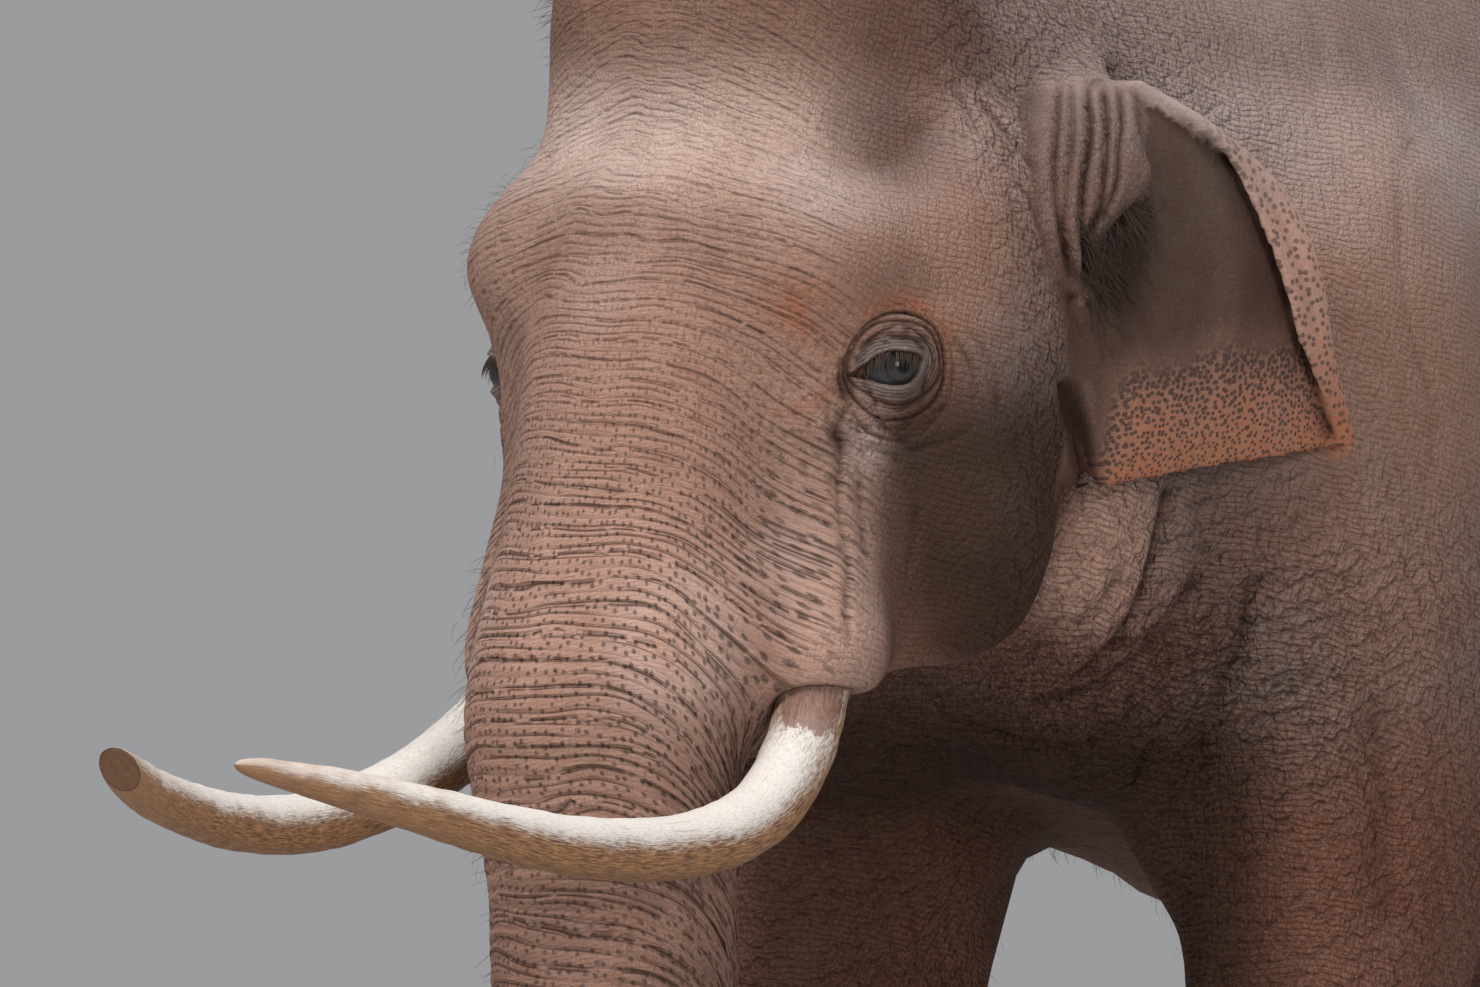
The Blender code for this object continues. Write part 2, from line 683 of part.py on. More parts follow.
def surface(name, colour, roughness):
    look = bpy.data.materials.new(name)
    look.use_nodes = True
    shader = look.node_tree.nodes["Principled BSDF"]
    shader.inputs["Base Color"].default_value = (*colour, 1.0)
    shader.inputs["Roughness"].default_value = roughness
    shader.inputs["Metallic"].default_value = 0.0
    return look


def build():
    for thing in list(bpy.data.objects):
        bpy.data.objects.remove(thing)
    elephant = bpy.data.collections.new("elephant")
    cutters = bpy.data.collections.new("cutters")
    for home in (elephant, cutters):
        bpy.context.scene.collection.children.link(home)

    parts = cut_into_parts(flesh(elephant), elephant)

    for side, side_name in ((1, "left"), (-1, "right")):
        spot = (side * EYE_SIDE, EYE_Y, EYE_HEIGHT)
        eye = mass(f"eye_{side_name}", spot, (EYE_RADIUS,) * 3, elephant, segments=12)
        stations = LEFT_TUSK if side > 0 else RIGHT_TUSK
        horn = tusk(f"tusk_{side_name}", stations, side, elephant)
        for piece in (eye, horn):
            socket = grown(piece, GAP, cutters)
            for name in ("head", "lower_jaw", "trunk_upper"):
                boolean_cut(parts[name], socket)
            bpy.data.objects.remove(socket)
            parts[piece.name] = piece

    for side in (1, -1):
        shell = ear(side, elephant)
        for name in ("head", "neck", "body"):
            bed = grown(parts[name], GAP, cutters)
            boolean_cut(shell, bed)
            bpy.data.objects.remove(bed)
        parts[shell.name] = shell

    rump = grown(parts["body"], GAP, cutters)
    whole_tail = boolean_cut(tail(elephant), rump)
    bpy.data.objects.remove(rump)
    base, end = parted(whole_tail, "tail_base", "tail_tip", (0, 3.3, 1.10), (0, 0, -1), elephant)
    parts["tail_base"] = base
    parts["tail_tip"] = end

    parts.update(toenails(parts, elephant, cutters))

    looks = {
        "eye": surface("eye", EYE_BROWN, 0.08),
        "tusk": surface("ivory", IVORY, 0.35),
        "nail": surface("nail", NAIL_HORN, 0.55),
        "ear": surface("ear_skin", SKIN_EAR, 0.80),
    }
    hide = surface("skin", SKIN_BROWN, 0.85)
    points = np.array([tuple(v.co) for part in parts.values() for v in part.data.vertices])
    low, high = points.min(axis=0), points.max(axis=0)
    shift = Vector((-(low[0] + high[0]) / 2, -(low[1] + high[1]) / 2, 0.0))
    for name, part in parts.items():
        part.data.transform(Matrix.Translation(shift))
        part.data.materials.clear()
        part.data.materials.append(looks.get(name.split("_")[0], hide))


build()
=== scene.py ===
"""Adult Asian elephant bull, life size: one hide over all the flesh, with eyes, ivory, toenails and hair.

The bull faces -Y and its left side is at +X. Forms of the head and body are given in metres as
(side, back from the plane of the eyes, height), as the part's own tables are, and are made on both sides.
"""

import math

import bmesh
import bpy
import numpy as np
from mathutils import Matrix, Vector
from mathutils.bvhtree import BVHTree


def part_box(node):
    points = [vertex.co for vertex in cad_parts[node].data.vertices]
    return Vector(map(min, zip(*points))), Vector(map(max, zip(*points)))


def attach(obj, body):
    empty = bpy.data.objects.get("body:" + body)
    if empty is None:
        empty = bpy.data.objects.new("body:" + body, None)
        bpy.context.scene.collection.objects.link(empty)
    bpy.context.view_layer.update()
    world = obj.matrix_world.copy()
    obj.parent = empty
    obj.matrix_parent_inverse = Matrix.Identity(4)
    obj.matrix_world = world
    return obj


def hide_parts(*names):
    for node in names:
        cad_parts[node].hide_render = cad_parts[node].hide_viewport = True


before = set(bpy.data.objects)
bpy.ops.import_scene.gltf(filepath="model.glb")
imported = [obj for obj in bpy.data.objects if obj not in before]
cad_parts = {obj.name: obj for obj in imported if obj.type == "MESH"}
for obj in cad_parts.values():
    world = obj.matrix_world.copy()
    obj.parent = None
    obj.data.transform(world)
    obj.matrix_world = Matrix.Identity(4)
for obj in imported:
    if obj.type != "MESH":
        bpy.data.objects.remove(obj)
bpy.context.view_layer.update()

# Where the face is: the eyes' centre lies 30 mm behind the plane that all the tables start from.
EYE_BACK = 0.030
EYE_LOW, EYE_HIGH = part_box("eye_left")
EYE = (EYE_LOW + EYE_HIGH) / 2
FACE_PLANE = EYE.y - EYE_BACK
EYEBALL_RADIUS = 0.042
EYEBALL_SUNK = 0.011
LID_THICKNESS = 0.005
GAZE = Vector((0.86, -0.50, 0.02)).normalized()
# The opening between the lids is cut back to this radius, behind the eyeball's front.
CLEFT_RADIUS = 0.0350
# The level direction of the front quarter: how much of it lies along the side, and along the front.
QUARTER_SIDE, QUARTER_FRONT = 0.574, 0.819

# The hide is fused at this grain, smoothed by these many passes, and thinned to these many triangles.
VOXEL = 0.0065
BODY_PASSES = 260
HEAD_PASSES = 42
CALM_PASSES = 260
CARVING_PASSES = 8
HIDE_TRIANGLES = 196000
RING_SPACING = 0.0235

FLESH = [
    name
    for name in sorted(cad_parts)
    if not name.startswith(("eye_", "tusk_", "nail_"))
]
EARS = ("ear_left", "ear_right")
NAILS = [name for name in sorted(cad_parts) if name.startswith("nail_")]

# The left ear's root and its free margin, from top to bottom: (side, back, height).
EAR_ROOT = (
    (0.360, 0.400, 2.282),
    (0.380, 0.350, 2.180),
    (0.388, 0.325, 2.050),
    (0.388, 0.312, 1.920),
    (0.384, 0.316, 1.810),
    (0.386, 0.325, 1.745),
)
EAR_RIM = (
    (0.406, 0.432, 2.272),
    (0.462, 0.530, 2.212),
    (0.502, 0.616, 2.136),
    (0.528, 0.658, 2.040),
    (0.540, 0.682, 1.925),
    (0.546, 0.742, 1.803),
)
EAR_OUTWARD = np.array((0.922, -0.387, 0.0))
EAR_BOW = 0.032
EAR_ROLL = (0.011, 0.014, 0.018, 0.020, 0.017, 0.010)
EAR_FLAP = (0.004, 0.020, 0.046, 0.062, 0.034, 0.026)
EAR_FLAP_GAP = 0.030
EAR_THICK_ROOT = 0.030
EAR_THICK_RIM = 0.014
# The pleated hide in front of the ear, from millimetres: ten rows go down to the ear hole, each of seven
# points from the temple to the free edge.
EAR_FRONT = np.array(
    (
        266, 400, 2322, 279, 467, 2325, 283, 481, 2325, 290, 509, 2326, 297, 528, 2327, 303, 542, 2327,
        309, 553, 2328, 280, 379, 2289, 303, 422, 2290, 309, 434, 2291, 323, 451, 2291, 342, 459, 2291,
        351, 461, 2290, 358, 466, 2290, 291, 357, 2256, 323, 382, 2256, 335, 389, 2256, 354, 397, 2256,
        378, 402, 2256, 399, 407, 2255, 405, 416, 2255, 307, 327, 2218, 339, 350, 2218, 358, 353, 2218,
        383, 359, 2217, 407, 363, 2217, 425, 371, 2217, 436, 389, 2217, 319, 304, 2183, 351, 326, 2183,
        372, 331, 2183, 395, 338, 2183, 418, 345, 2182, 433, 350, 2182, 454, 379, 2183, 341, 275, 2143,
        364, 306, 2144, 379, 312, 2144, 398, 321, 2143, 425, 329, 2143, 440, 337, 2143, 465, 382, 2144,
        356, 266, 2109, 374, 294, 2110, 383, 300, 2110, 401, 313, 2110, 424, 319, 2109, 434, 324, 2109,
        444, 353, 2110, 372, 260, 2075, 385, 287, 2076, 388, 292, 2076, 403, 309, 2076, 411, 313, 2076,
        415, 318, 2076, 414, 332, 2076, 379, 273, 2037, 389, 295, 2037, 391, 299, 2037, 402, 318, 2038,
        403, 324, 2038, 403, 329, 2038, 400, 337, 2038, 379, 292, 2002, 387, 308, 2002, 389, 312, 2002,
        393, 327, 2002, 393, 332, 2002, 393, 337, 2002, 392, 343, 2002,
    )
).reshape(10, 7, 3) / 1000
PLEAT_DEPTHS = (0.009, 0.008, 0.013, 0.011, 0.009)


# ---------------------------------------------------------------- numbers that vary over the hide


def ramp(value, low, high):
    """0 below low, 1 above high, and a soft rise between; low may be the larger."""
    share = np.clip((value - low) / (high - low), 0.0, 1.0)
    return share * share * (3.0 - 2.0 * share)


def bell(distance, width):
    return np.exp(-((distance / width) ** 2))


class Lumps:
    """Smooth random values on a lattice, the same on each run."""

    def __init__(self, seed, size=64):
        self.size = size
        self.values = np.random.default_rng(seed).random((size, size, size)) * 2.0 - 1.0

    def at(self, points):
        whole = np.floor(points).astype(int)
        part = points - whole
        part = part * part * (3.0 - 2.0 * part)
        total = np.zeros(len(points))
        for corner in range(8):
            step = np.array((corner & 1, corner >> 1 & 1, corner >> 2 & 1))
            weight = np.prod(np.where(step, part, 1.0 - part), axis=1)
            cell = (whole + step) % self.size
            total += weight * self.values[cell[:, 0], cell[:, 1], cell[:, 2]]
        return total


LUMPS = Lumps(7)


def curve_at(stations, shares):
    """A smooth curve through the stations, at shares of its length from 0 to 1."""
    table = np.array(stations, float)
    slopes = np.gradient(table, axis=0)
    where = np.asarray(shares, float) * (len(table) - 1.0)
    low = np.clip(np.floor(where).astype(int), 0, len(table) - 2)
    t = (where - low)[:, None]
    start, end = table[low], table[low + 1]
    rise, fall = slopes[low], slopes[low + 1]
    return (
        (2 * t**3 - 3 * t**2 + 1) * start
        + (t**3 - 2 * t**2 + t) * rise
        + (3 * t**2 - 2 * t**3) * end
        + (t**3 - t**2) * fall
    )


def refined(stations, count):
    return curve_at(stations, np.linspace(0.0, 1.0, count))


def single(values, shares):
    """One value, rather than a point, along a smooth curve."""
    return curve_at([(value,) for value in values], shares)


def lengths_along(line):
    """How far along the line each of its points lies."""
    return np.concatenate(([0.0], np.cumsum(np.linalg.norm(np.diff(line, axis=0), axis=1))))


def spot(p, centre, reach):
    """1 at the centre, and fading over its reach along side, back and height."""
    return np.exp(-(((p - np.array(centre)) / np.array(reach)) ** 2).sum(1))


def places(mesh):
    """The mesh's points as an array."""
    found = np.empty(len(mesh.vertices) * 3, np.float32)
    mesh.vertices.foreach_get("co", found)
    return found.reshape(-1, 3).astype(float)


def directions(mesh):
    found = np.empty(len(mesh.vertices) * 3, np.float32)
    mesh.vertex_normals.foreach_get("vector", found)
    return found.reshape(-1, 3).astype(float)


def put_places(mesh, points):
    mesh.vertices.foreach_set("co", points.astype(np.float32).ravel())
    mesh.update()


def from_face(points):
    """Points as the tables give them: folded onto the left side, and back from the eyes' plane."""
    folded = points.copy()
    folded[:, 0] = np.abs(folded[:, 0])
    folded[:, 1] -= FACE_PLANE
    return folded


# ---------------------------------------------------------------- meshes


def new_thing(name, mesh):
    thing = bpy.data.objects.new(name, mesh)
    bpy.context.scene.collection.objects.link(thing)
    return thing


def evaluated(thing):
    """Replaces the object's mesh with what its modifiers make of it."""
    graph = bpy.context.evaluated_depsgraph_get()
    graph.update()
    mesh = bpy.data.meshes.new_from_object(thing.evaluated_get(graph))
    thing.modifiers.clear()
    old = thing.data
    thing.data = mesh
    bpy.data.meshes.remove(old)
    mesh.name = thing.name
    return thing


def mesh_of(shape, name):
    """The bmesh as a mesh; the bmesh is freed."""
    mesh = bpy.data.meshes.new(name)
    shape.to_mesh(mesh)
    shape.free()
    return mesh


def coated(mesh, finish):
    """The mesh with one finish all over, shaded smooth."""
    mesh.materials.clear()
    mesh.materials.append(finish)
    mesh.shade_smooth()


def fused(thing, voxel):
    """Everything that overlaps in the object made one closed skin."""
    remesh = thing.modifiers.new("fuse", "REMESH")
    remesh.mode = "VOXEL"
    remesh.voxel_size = voxel
    return evaluated(thing)


def weights(thing, name, values):
    """A vertex group from an array of one value for each point."""
    group = thing.vertex_groups.new(name=name)
    levels = np.round(np.clip(values, 0.0, 1.0) * 50).astype(int)
    for level in np.unique(levels):
        if level:
            group.add(np.flatnonzero(levels == level).tolist(), level / 50, "REPLACE")
    return group


def smoothed(thing, passes, values):
    group = weights(thing, "smooth", values)
    smooth = thing.modifiers.new("smooth", "SMOOTH")
    smooth.factor = 0.5
    smooth.iterations = passes
    smooth.vertex_group = group.name
    evaluated(thing)
    thing.vertex_groups.clear()
    return thing


def solid_copy(names, target):
    """Adds closed copies of CAD nodes to a bmesh."""
    for name in names:
        piece = bmesh.new()
        piece.from_mesh(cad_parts[name].data)
        bmesh.ops.remove_doubles(piece, verts=piece.verts, dist=1e-5)
        mesh = mesh_of(piece, "copy")
        target.from_mesh(mesh)
        bpy.data.meshes.remove(mesh)


def ball(target, centre, radii):
    place = Matrix.Translation(centre) @ Matrix.Diagonal((*radii, 1.0))
    bmesh.ops.create_icosphere(target, subdivisions=4, radius=1.0, matrix=place)


def eye_aim(side):
    """Which way an eye looks, and its eyeball's centre."""
    gaze = Vector((side * GAZE.x, GAZE.y, GAZE.z))
    return gaze, Vector((side * EYE.x, EYE.y, EYE.z)) - gaze * EYEBALL_SUNK


def on_blade(share, down, lift):
    """Points on or off the left ear's middle sheet, from its root to where its margin turns."""
    root = curve_at(EAR_ROOT, down)
    rim = curve_at(EAR_RIM, down)
    radius = single(EAR_ROLL, down)
    reach = (rim - root) / np.linalg.norm(rim - root, axis=1)[:, None]
    turning = rim - reach * radius
    bow = EAR_BOW * np.sin(math.pi * np.clip(share, 0, 1)) * np.sin(math.pi * (0.15 + 0.75 * down))
    billow = 0.009 * np.sin(7.5 * share + 2.2 * down) * ramp(down, 0.25, 0.7) * share
    crest = 0.015 * bell(share - 0.66 + 0.25 * (down - 0.55), 0.09) * bell(down - 0.62, 0.17)
    curl = -0.020 * bell(share, 0.10) * ramp(down, 0.45, 0.9)
    outward = bow + billow + crest + curl + lift
    return root + (turning - root) * share[:, None] + EAR_OUTWARD * outward[:, None]


def ear_blade():
    """The blade, its margin rolled forward, and the flap folded back over the front, with thicknesses."""
    rows = 84
    columns = 34
    turns = 9
    lap = 12
    down = np.linspace(0.0, 1.0, rows)
    ones = np.ones(rows)
    radius = single(EAR_ROLL, down)[:, 0]
    flap = single(EAR_FLAP, down)[:, 0]
    span = np.linalg.norm(curve_at(EAR_RIM, down) - curve_at(EAR_ROOT, down), axis=1) - radius
    grid = []
    thick = []
    for share in np.linspace(0.0, 1.0, columns):
        grid.append(on_blade(share * ones, down, 0.0 * ones))
        width = EAR_THICK_ROOT + (EAR_THICK_RIM - EAR_THICK_ROOT) * min(1, 1.8 * share)
        thick.append(width * (1.0 - 0.45 * bell(1.0 - down, 0.07)))
    edge = grid[-1]
    reach = edge - grid[-3]
    reach /= np.linalg.norm(reach, axis=1)[:, None]
    for turn in range(1, turns + 1):
        angle = math.pi * turn / turns
        out = radius * (1.0 - math.cos(angle))
        grid.append(edge + reach * (radius * math.sin(angle))[:, None] + EAR_OUTWARD * out[:, None])
        thick.append(EAR_THICK_RIM * ones)
    for step in range(1, lap + 1):
        share = step / lap
        wave = 0.005 * np.sin(17.0 * down + 1.0) * share
        back = (flap + wave) * share / span
        ease = float(ramp(share, 0.0, 0.8))
        gap = 2 * radius * (1.0 - ease) + np.minimum(2 * radius, EAR_FLAP_GAP) * ease
        gap = gap - 0.007 * bell(share - 0.42, 0.16) * ramp(flap, 0.03, 0.05)
        grid.append(on_blade(1.0 - back, down, gap))
        thick.append((EAR_THICK_RIM - 0.004 * share) * ones)
    return np.stack(grid, axis=1), np.stack(thick, axis=1)


def ear_front():
    """The hide in front of the ear, hanging in upright pleats."""
    across = np.linspace(0.0, 6.0, 43)
    down = np.linspace(0.0, 1.0, 46)
    columns = np.stack([curve_at(EAR_FRONT[:, column], down) for column in range(7)], axis=1)
    low = np.minimum(across.astype(int), 5)
    part = (across - low)[None, :, None]
    grid = columns[:, low] * (1.0 - part) + columns[:, low + 1] * part
    pleat = 0.007 * np.abs(np.sin(math.pi * across)) * ramp(across, 0.6, 1.4)
    ends = ramp(down, 0.06, 0.30) * ramp(down, 1.0, 0.75)
    grid += EAR_OUTWARD * (pleat[None, :] * ends[:, None])[:, :, None]
    return grid, np.full(grid.shape[:2], 0.016)


def grid_faces(grid):
    rows, columns = grid.shape[:2]
    corners = [row * columns + column for row in range(rows - 1) for column in range(columns - 1)]
    return [(corner, corner + 1, corner + columns + 1, corner + columns) for corner in corners]


def sheet(grid, thick, side, target):
    """A grid of points given a thickness, and added to the bmesh on either side of the body."""
    points = grid.reshape(-1, 3) * (side, 1.0, 1.0) + (0.0, FACE_PLANE, 0.0)
    faces = [face if side > 0 else face[::-1] for face in grid_faces(grid)]
    mesh = bpy.data.meshes.new("sheet")
    mesh.from_pydata(points.tolist(), [], faces)
    thing = new_thing("sheet", mesh)
    widest = float(thick.max())
    group = weights(thing, "thick", thick.ravel() / widest)
    shell = thing.modifiers.new("shell", "SOLIDIFY")
    shell.thickness = widest
    shell.offset = 0.0
    shell.use_even_offset = False
    shell.vertex_group = group.name
    evaluated(thing)
    target.from_mesh(thing.data)
    bpy.data.objects.remove(thing)


def sheet_tree(grid):
    """The left-hand sheet as a tree to measure distances from."""
    return BVHTree.FromPolygons(grid.reshape(-1, 3).tolist(), grid_faces(grid))


EAR_SHEETS = (ear_blade(), ear_front())
BLADE_TREE = sheet_tree(EAR_SHEETS[0][0])
FRONT_TREE = sheet_tree(EAR_SHEETS[1][0])


def reach_of(tree, points):
    """Each point's distance from a sheet of the ear, up to 60 mm, and the sheet's face nearest to it."""
    p = from_face(points)
    far = np.full(len(p), 1.0)
    faces = np.zeros(len(p), int)
    inside = (p[:, 0] > 0.26) & (p[:, 1] > 0.24) & (p[:, 1] < 0.84) & (p[:, 2] > 1.66) & (p[:, 2] < 2.36)
    for index in np.flatnonzero(inside):
        _, _, face, distance = tree.find_nearest(Vector(p[index]), 0.06)
        if face is not None:
            far[index] = distance
            faces[index] = face
    return far, faces


def ear_reach(points):
    """Each point's distance from the ear's blade, and the blade's column nearest to it."""
    far, faces = reach_of(BLADE_TREE, points)
    return far, faces % (EAR_SHEETS[0][0].shape[1] - 1)


def on_pleats(points):
    """1 on the pleats in front of the ear, 0 away from them."""
    far, faces = reach_of(FRONT_TREE, points)
    row = faces // (EAR_SHEETS[1][0].shape[1] - 1)
    return ramp(far, 0.026, 0.012) * ramp(row, 4.0, 12.0)


def near_ear(points):
    """1 on the ears, 0 away from them."""
    far, _ = ear_reach(points)
    return ramp(far, 0.026, 0.014)


def hide_form():
    """The flesh, ears, lids and tail fused as one closed skin, smoothed where it is open hide."""
    shape = bmesh.new()
    solid_copy([name for name in FLESH if name not in EARS and name != "tail_tip"], shape)
    for side in (1, -1):
        for grid, thick in EAR_SHEETS:
            sheet(grid, thick, side, shape)
        _, centre = eye_aim(side)
        ball(shape, centre, (EYEBALL_RADIUS + LID_THICKNESS,) * 3)
    low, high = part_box("tail_tip")
    middle = (low + high) / 2
    ball(shape, Vector((middle.x, low.y + 0.022, high.z - 0.10)), (0.020, 0.016, 0.18))
    hide = fused(new_thing("hide", mesh_of(shape, "hide")), VOXEL)
    points = places(hide.data)
    p = from_face(points)
    rooted, _ = near_line(p, refined(EAR_ROOT, 12))
    ears = near_ear(points) * ramp(rooted, 0.020, 0.055)
    open_hide = 1.0 - ears
    torso = open_hide * ramp(p[:, 1], 0.36, 0.62) * ramp(p[:, 2], 0.10, 0.22)
    tail = 1.0 - 0.9 * ramp(p[:, 1], 3.10, 3.22)
    smoothed(hide, BODY_PASSES, torso * tail)
    points = places(hide.data)
    p = from_face(points)
    soles = ramp(p[:, 2], 0.02, 0.09)
    rooted, _ = near_line(p, refined(EAR_ROOT, 12))
    ears = near_ear(points) * ramp(rooted, 0.020, 0.055)
    ears = np.maximum(ears, 0.85 * on_pleats(points))
    smoothed(hide, HEAD_PASSES, (1.0 - ears) * soles * tail)
    smoothed(hide, 9, soles)
    return hide


# ---------------------------------------------------------------- carving the hide

# Places where the hide is stretched even: (centre, reach along side, back and height).
CALM = (
    ((0.235, -0.110, 2.040), (0.110, 0.110, 0.110)),
    ((0.335, 0.110, 1.620), (0.080, 0.120, 0.110)),
    ((0.280, 0.060, 1.780), (0.070, 0.080, 0.100)),
)
# Broad forms added to the face and body: (centre, reach along side, back and height, outward step).
FORMS = (
    ((0.120, -0.150, 2.125), (0.140, 0.080, 0.045), 0.007),
    ((0.290, -0.060, 2.020), (0.060, 0.070, 0.050), 0.004),
    ((0.330, -0.020, 1.985), (0.050, 0.090, 0.035), -0.004),
    ((0.335, 0.110, 1.640), (0.050, 0.100, 0.070), -0.010),
    ((0.290, 0.070, 1.530), (0.070, 0.090, 0.050), 0.020),
    ((0.300, 0.050, 1.760), (0.060, 0.060, 0.060), -0.004),
    ((0.325, 0.468, 1.640), (0.060, 0.065, 0.120), 0.032),
    ((0.405, 0.600, 1.560), (0.050, 0.050, 0.110), 0.014),
    ((0.600, 1.050, 2.050), (0.260, 0.160, 0.320), 0.024),
    ((0.620, 1.380, 1.950), (0.260, 0.120, 0.350), -0.014),
    ((0.500, 1.120, 1.250), (0.200, 0.120, 0.120), 0.020),
    ((0.500, 0.840, 1.000), (0.200, 0.100, 0.140), 0.014),
    ((0.660, 2.380, 1.850), (0.260, 0.220, 0.280), -0.034),
    ((0.450, 2.720, 2.350), (0.220, 0.140, 0.160), 0.030),
    ((0.560, 2.600, 1.150), (0.200, 0.130, 0.160), 0.022),
    ((0.400, 2.950, 0.720), (0.200, 0.100, 0.100), 0.014),
    ((0.000, 1.700, 2.800), (0.050, 0.900, 0.250), 0.010),
)


def crease(depth, width, *points):
    """Depth and half width from tenths of a millimetre, and points from millimetres, in metres."""
    return depth / 10000, width / 10000, np.array(points).reshape(-1, 3) / 1000


# The furrow between the cheek and the lower ear, carved and painted dark all the way down as its shadow.
EAR_FURROW = crease(
    220, 100, 390, 290, 1895, 388, 310, 1845, 389, 324, 1809, 390, 332, 1783, 387, 346, 1752, 386, 356, 1730
)
# Creases of the left side, repeated on the right.
CREASES = (
    crease(40, 70, 271, 191, 2279, 314, 205, 2211, 351, 231, 2152, 373, 258, 2083, 384, 277, 2020),
    crease(40, 60, 289, 234, 2251, 332, 266, 2188, 361, 289, 2143),
    crease(40, 70, 359, 199, 2126, 380, 221, 2057, 386, 261, 2010),
    crease(20, 45, 346, 68, 1938, 365, 96, 1914, 380, 130, 1877, 384, 160, 1820),
    crease(
        50, 42, 264, -50, 1846, 265, -37, 1798, 263, -39, 1759, 269, -47, 1716, 284, -49, 1650, 292, -65,
        1592, 300, -66, 1523
    ),
    crease(40, 45, 277, -16, 1768, 287, -19, 1680, 293, -14, 1650),
    crease(30, 45, 291, -5, 1834, 303, 19, 1816, 320, 58, 1792),
    crease(40, 45, 275, -31, 1858, 264, -42, 1826, 254, -50, 1795),
    crease(
        150, 85, 375, 585, 1776, 375, 560, 1712, 364, 548, 1645, 352, 535, 1598, 335, 520, 1560, 298, 505,
        1515, 245, 490, 1480
    ),
    crease(
        120, 150, 480, 680, 1645, 440, 660, 1610, 432, 655, 1549, 420, 648, 1512, 403, 640, 1461, 390, 635,
        1420, 345, 640, 1344
    ),
    crease(30, 70, 440, 660, 1610, 500, 690, 1630, 560, 780, 1622),
    crease(30, 80, 415, 645, 1476, 490, 690, 1492, 540, 740, 1495, 558, 800, 1483),
    crease(90, 80, 323, 622, 1418, 280, 649, 1370, 265, 681, 1345),
    crease(110, 280, 556, 800, 1487, 553, 823, 1393, 550, 840, 1324, 542, 843, 1254, 540, 868, 1130),
    crease(32, 34, 248, -63, 1872, 264, -44, 1840, 282, -17, 1824, 293, 7, 1810),
    crease(40, 40, 249, -60, 1856, 258, -49, 1829, 261, -40, 1807, 271, -29, 1787),
    crease(30, 34, 293, -6, 1831, 304, 20, 1823, 318, 40, 1829, 353, 83, 1854),
    crease(32, 36, 281, -14, 1805, 295, 14, 1794, 305, 44, 1777),
    crease(28, 34, 311, 35, 1818, 324, 52, 1824, 342, 73, 1840),
    crease(30, 36, 308, 44, 1789, 325, 64, 1801, 347, 88, 1808, 367, 115, 1827),
    crease(28, 38, 353, 74, 1946, 364, 97, 1919, 371, 109, 1884, 367, 108, 1846),
    crease(26, 38, 362, 92, 1953, 377, 122, 1922, 384, 142, 1878, 379, 143, 1833),
    crease(30, 45, 300, 44, 1757, 309, 66, 1732, 301, 70, 1681, 291, 69, 1630),
    crease(70, 58, 196, 485, 1467, 274, 509, 1481, 331, 542, 1521, 378, 592, 1573),
    crease(70, 58, 80, 517, 1438, 170, 525, 1413, 256, 563, 1407, 334, 587, 1467),
    crease(60, 55, 301, 516, 1534, 343, 548, 1547, 379, 590, 1600, 398, 610, 1652),
    crease(160, 200, 640, 1240, 1620, 600, 1235, 1430, 540, 1230, 1280, 480, 1200, 1180),
    crease(200, 240, 660, 2250, 1260, 650, 2380, 1380, 640, 2480, 1540, 620, 2540, 1720),
    crease(100, 160, 600, 2420, 1180, 580, 2520, 1300, 560, 2600, 1440),
    crease(60, 70, 300, 440, 1560, 335, 470, 1600, 352, 500, 1650),
    crease(60, 70, 350, 600, 1540, 375, 600, 1590, 400, 620, 1640),
    EAR_FURROW,
)

# The trunk's own line from the crown to its tip: (back, height).
TRUNK_LINE = (
    (-0.020, 2.60),
    (-0.020, 2.10),
    (-0.075, 1.82),
    (-0.150, 1.55),
    (-0.180, 1.42),
    (-0.155, 1.22),
    (-0.165, 0.85),
    (-0.175, 0.65),
    (-0.190, 0.46),
    (-0.215, 0.29),
    (-0.262, 0.165),
    (-0.335, 0.105),
    (-0.430, 0.117),
)

# The opening between the lids, forward of the gaze and above it, from the inner corner over the top.
LID_EDGE = (
    (0.0660, -0.0125),
    (0.0500, -0.0010),
    (0.0380, 0.0070),
    (0.0275, 0.0145),
    (0.0160, 0.0190),
    (0.0000, 0.0190),
    (-0.0137, 0.0176),
    (-0.0275, 0.0148),
    (-0.0330, 0.0120),
    (-0.0310, 0.0030),
    (-0.0250, -0.0095),
    (-0.0160, -0.0190),
    (-0.0046, -0.0240),
    (0.0092, -0.0248),
    (0.0229, -0.0225),
    (0.0389, -0.0182),
    (0.0527, -0.0150),
)
# Folds round the eye: (reach to the inner corner, to the outer one, height over it and the fold's depth
# there, depth under it and the fold's depth there).
LID_FOLDS = (
    (0.0720, 0.0640, 0.0690, 0.0056, 0.0680, 0.0050),
    (0.0690, 0.0580, 0.0590, 0.0036, 0.0460, 0.0036),
    (0.0560, 0.0500, 0.0490, 0.0026, 0.0370, 0.0014),
    (0.0450, 0.0440, 0.0410, 0.0018, 0.0560, 0.0016),
    (0.0380, 0.0400, 0.0345, 0.0016, 0.0800, 0.0026),
    (0.0760, 0.0740, 0.0790, 0.0012, 0.0920, 0.0024),
)


def near_line(points, line):
    """Each point's distance from a line of points, and how far along it that is, 0 to 1."""
    line = np.array(line, float)
    lengths = lengths_along(line)
    best = np.full(len(points), np.inf)
    share = np.zeros(len(points))
    for index in range(len(line) - 1):
        start, step = line[index], line[index + 1] - line[index]
        t = np.clip((points - start) @ step / (step @ step), 0.0, 1.0)
        far = np.linalg.norm(points - start - t[:, None] * step, axis=1)
        nearer = far < best
        best = np.where(nearer, far, best)
        along = (lengths[index] + t * (lengths[index + 1] - lengths[index])) / lengths[-1]
        share = np.where(nearer, along, share)
    return best, share


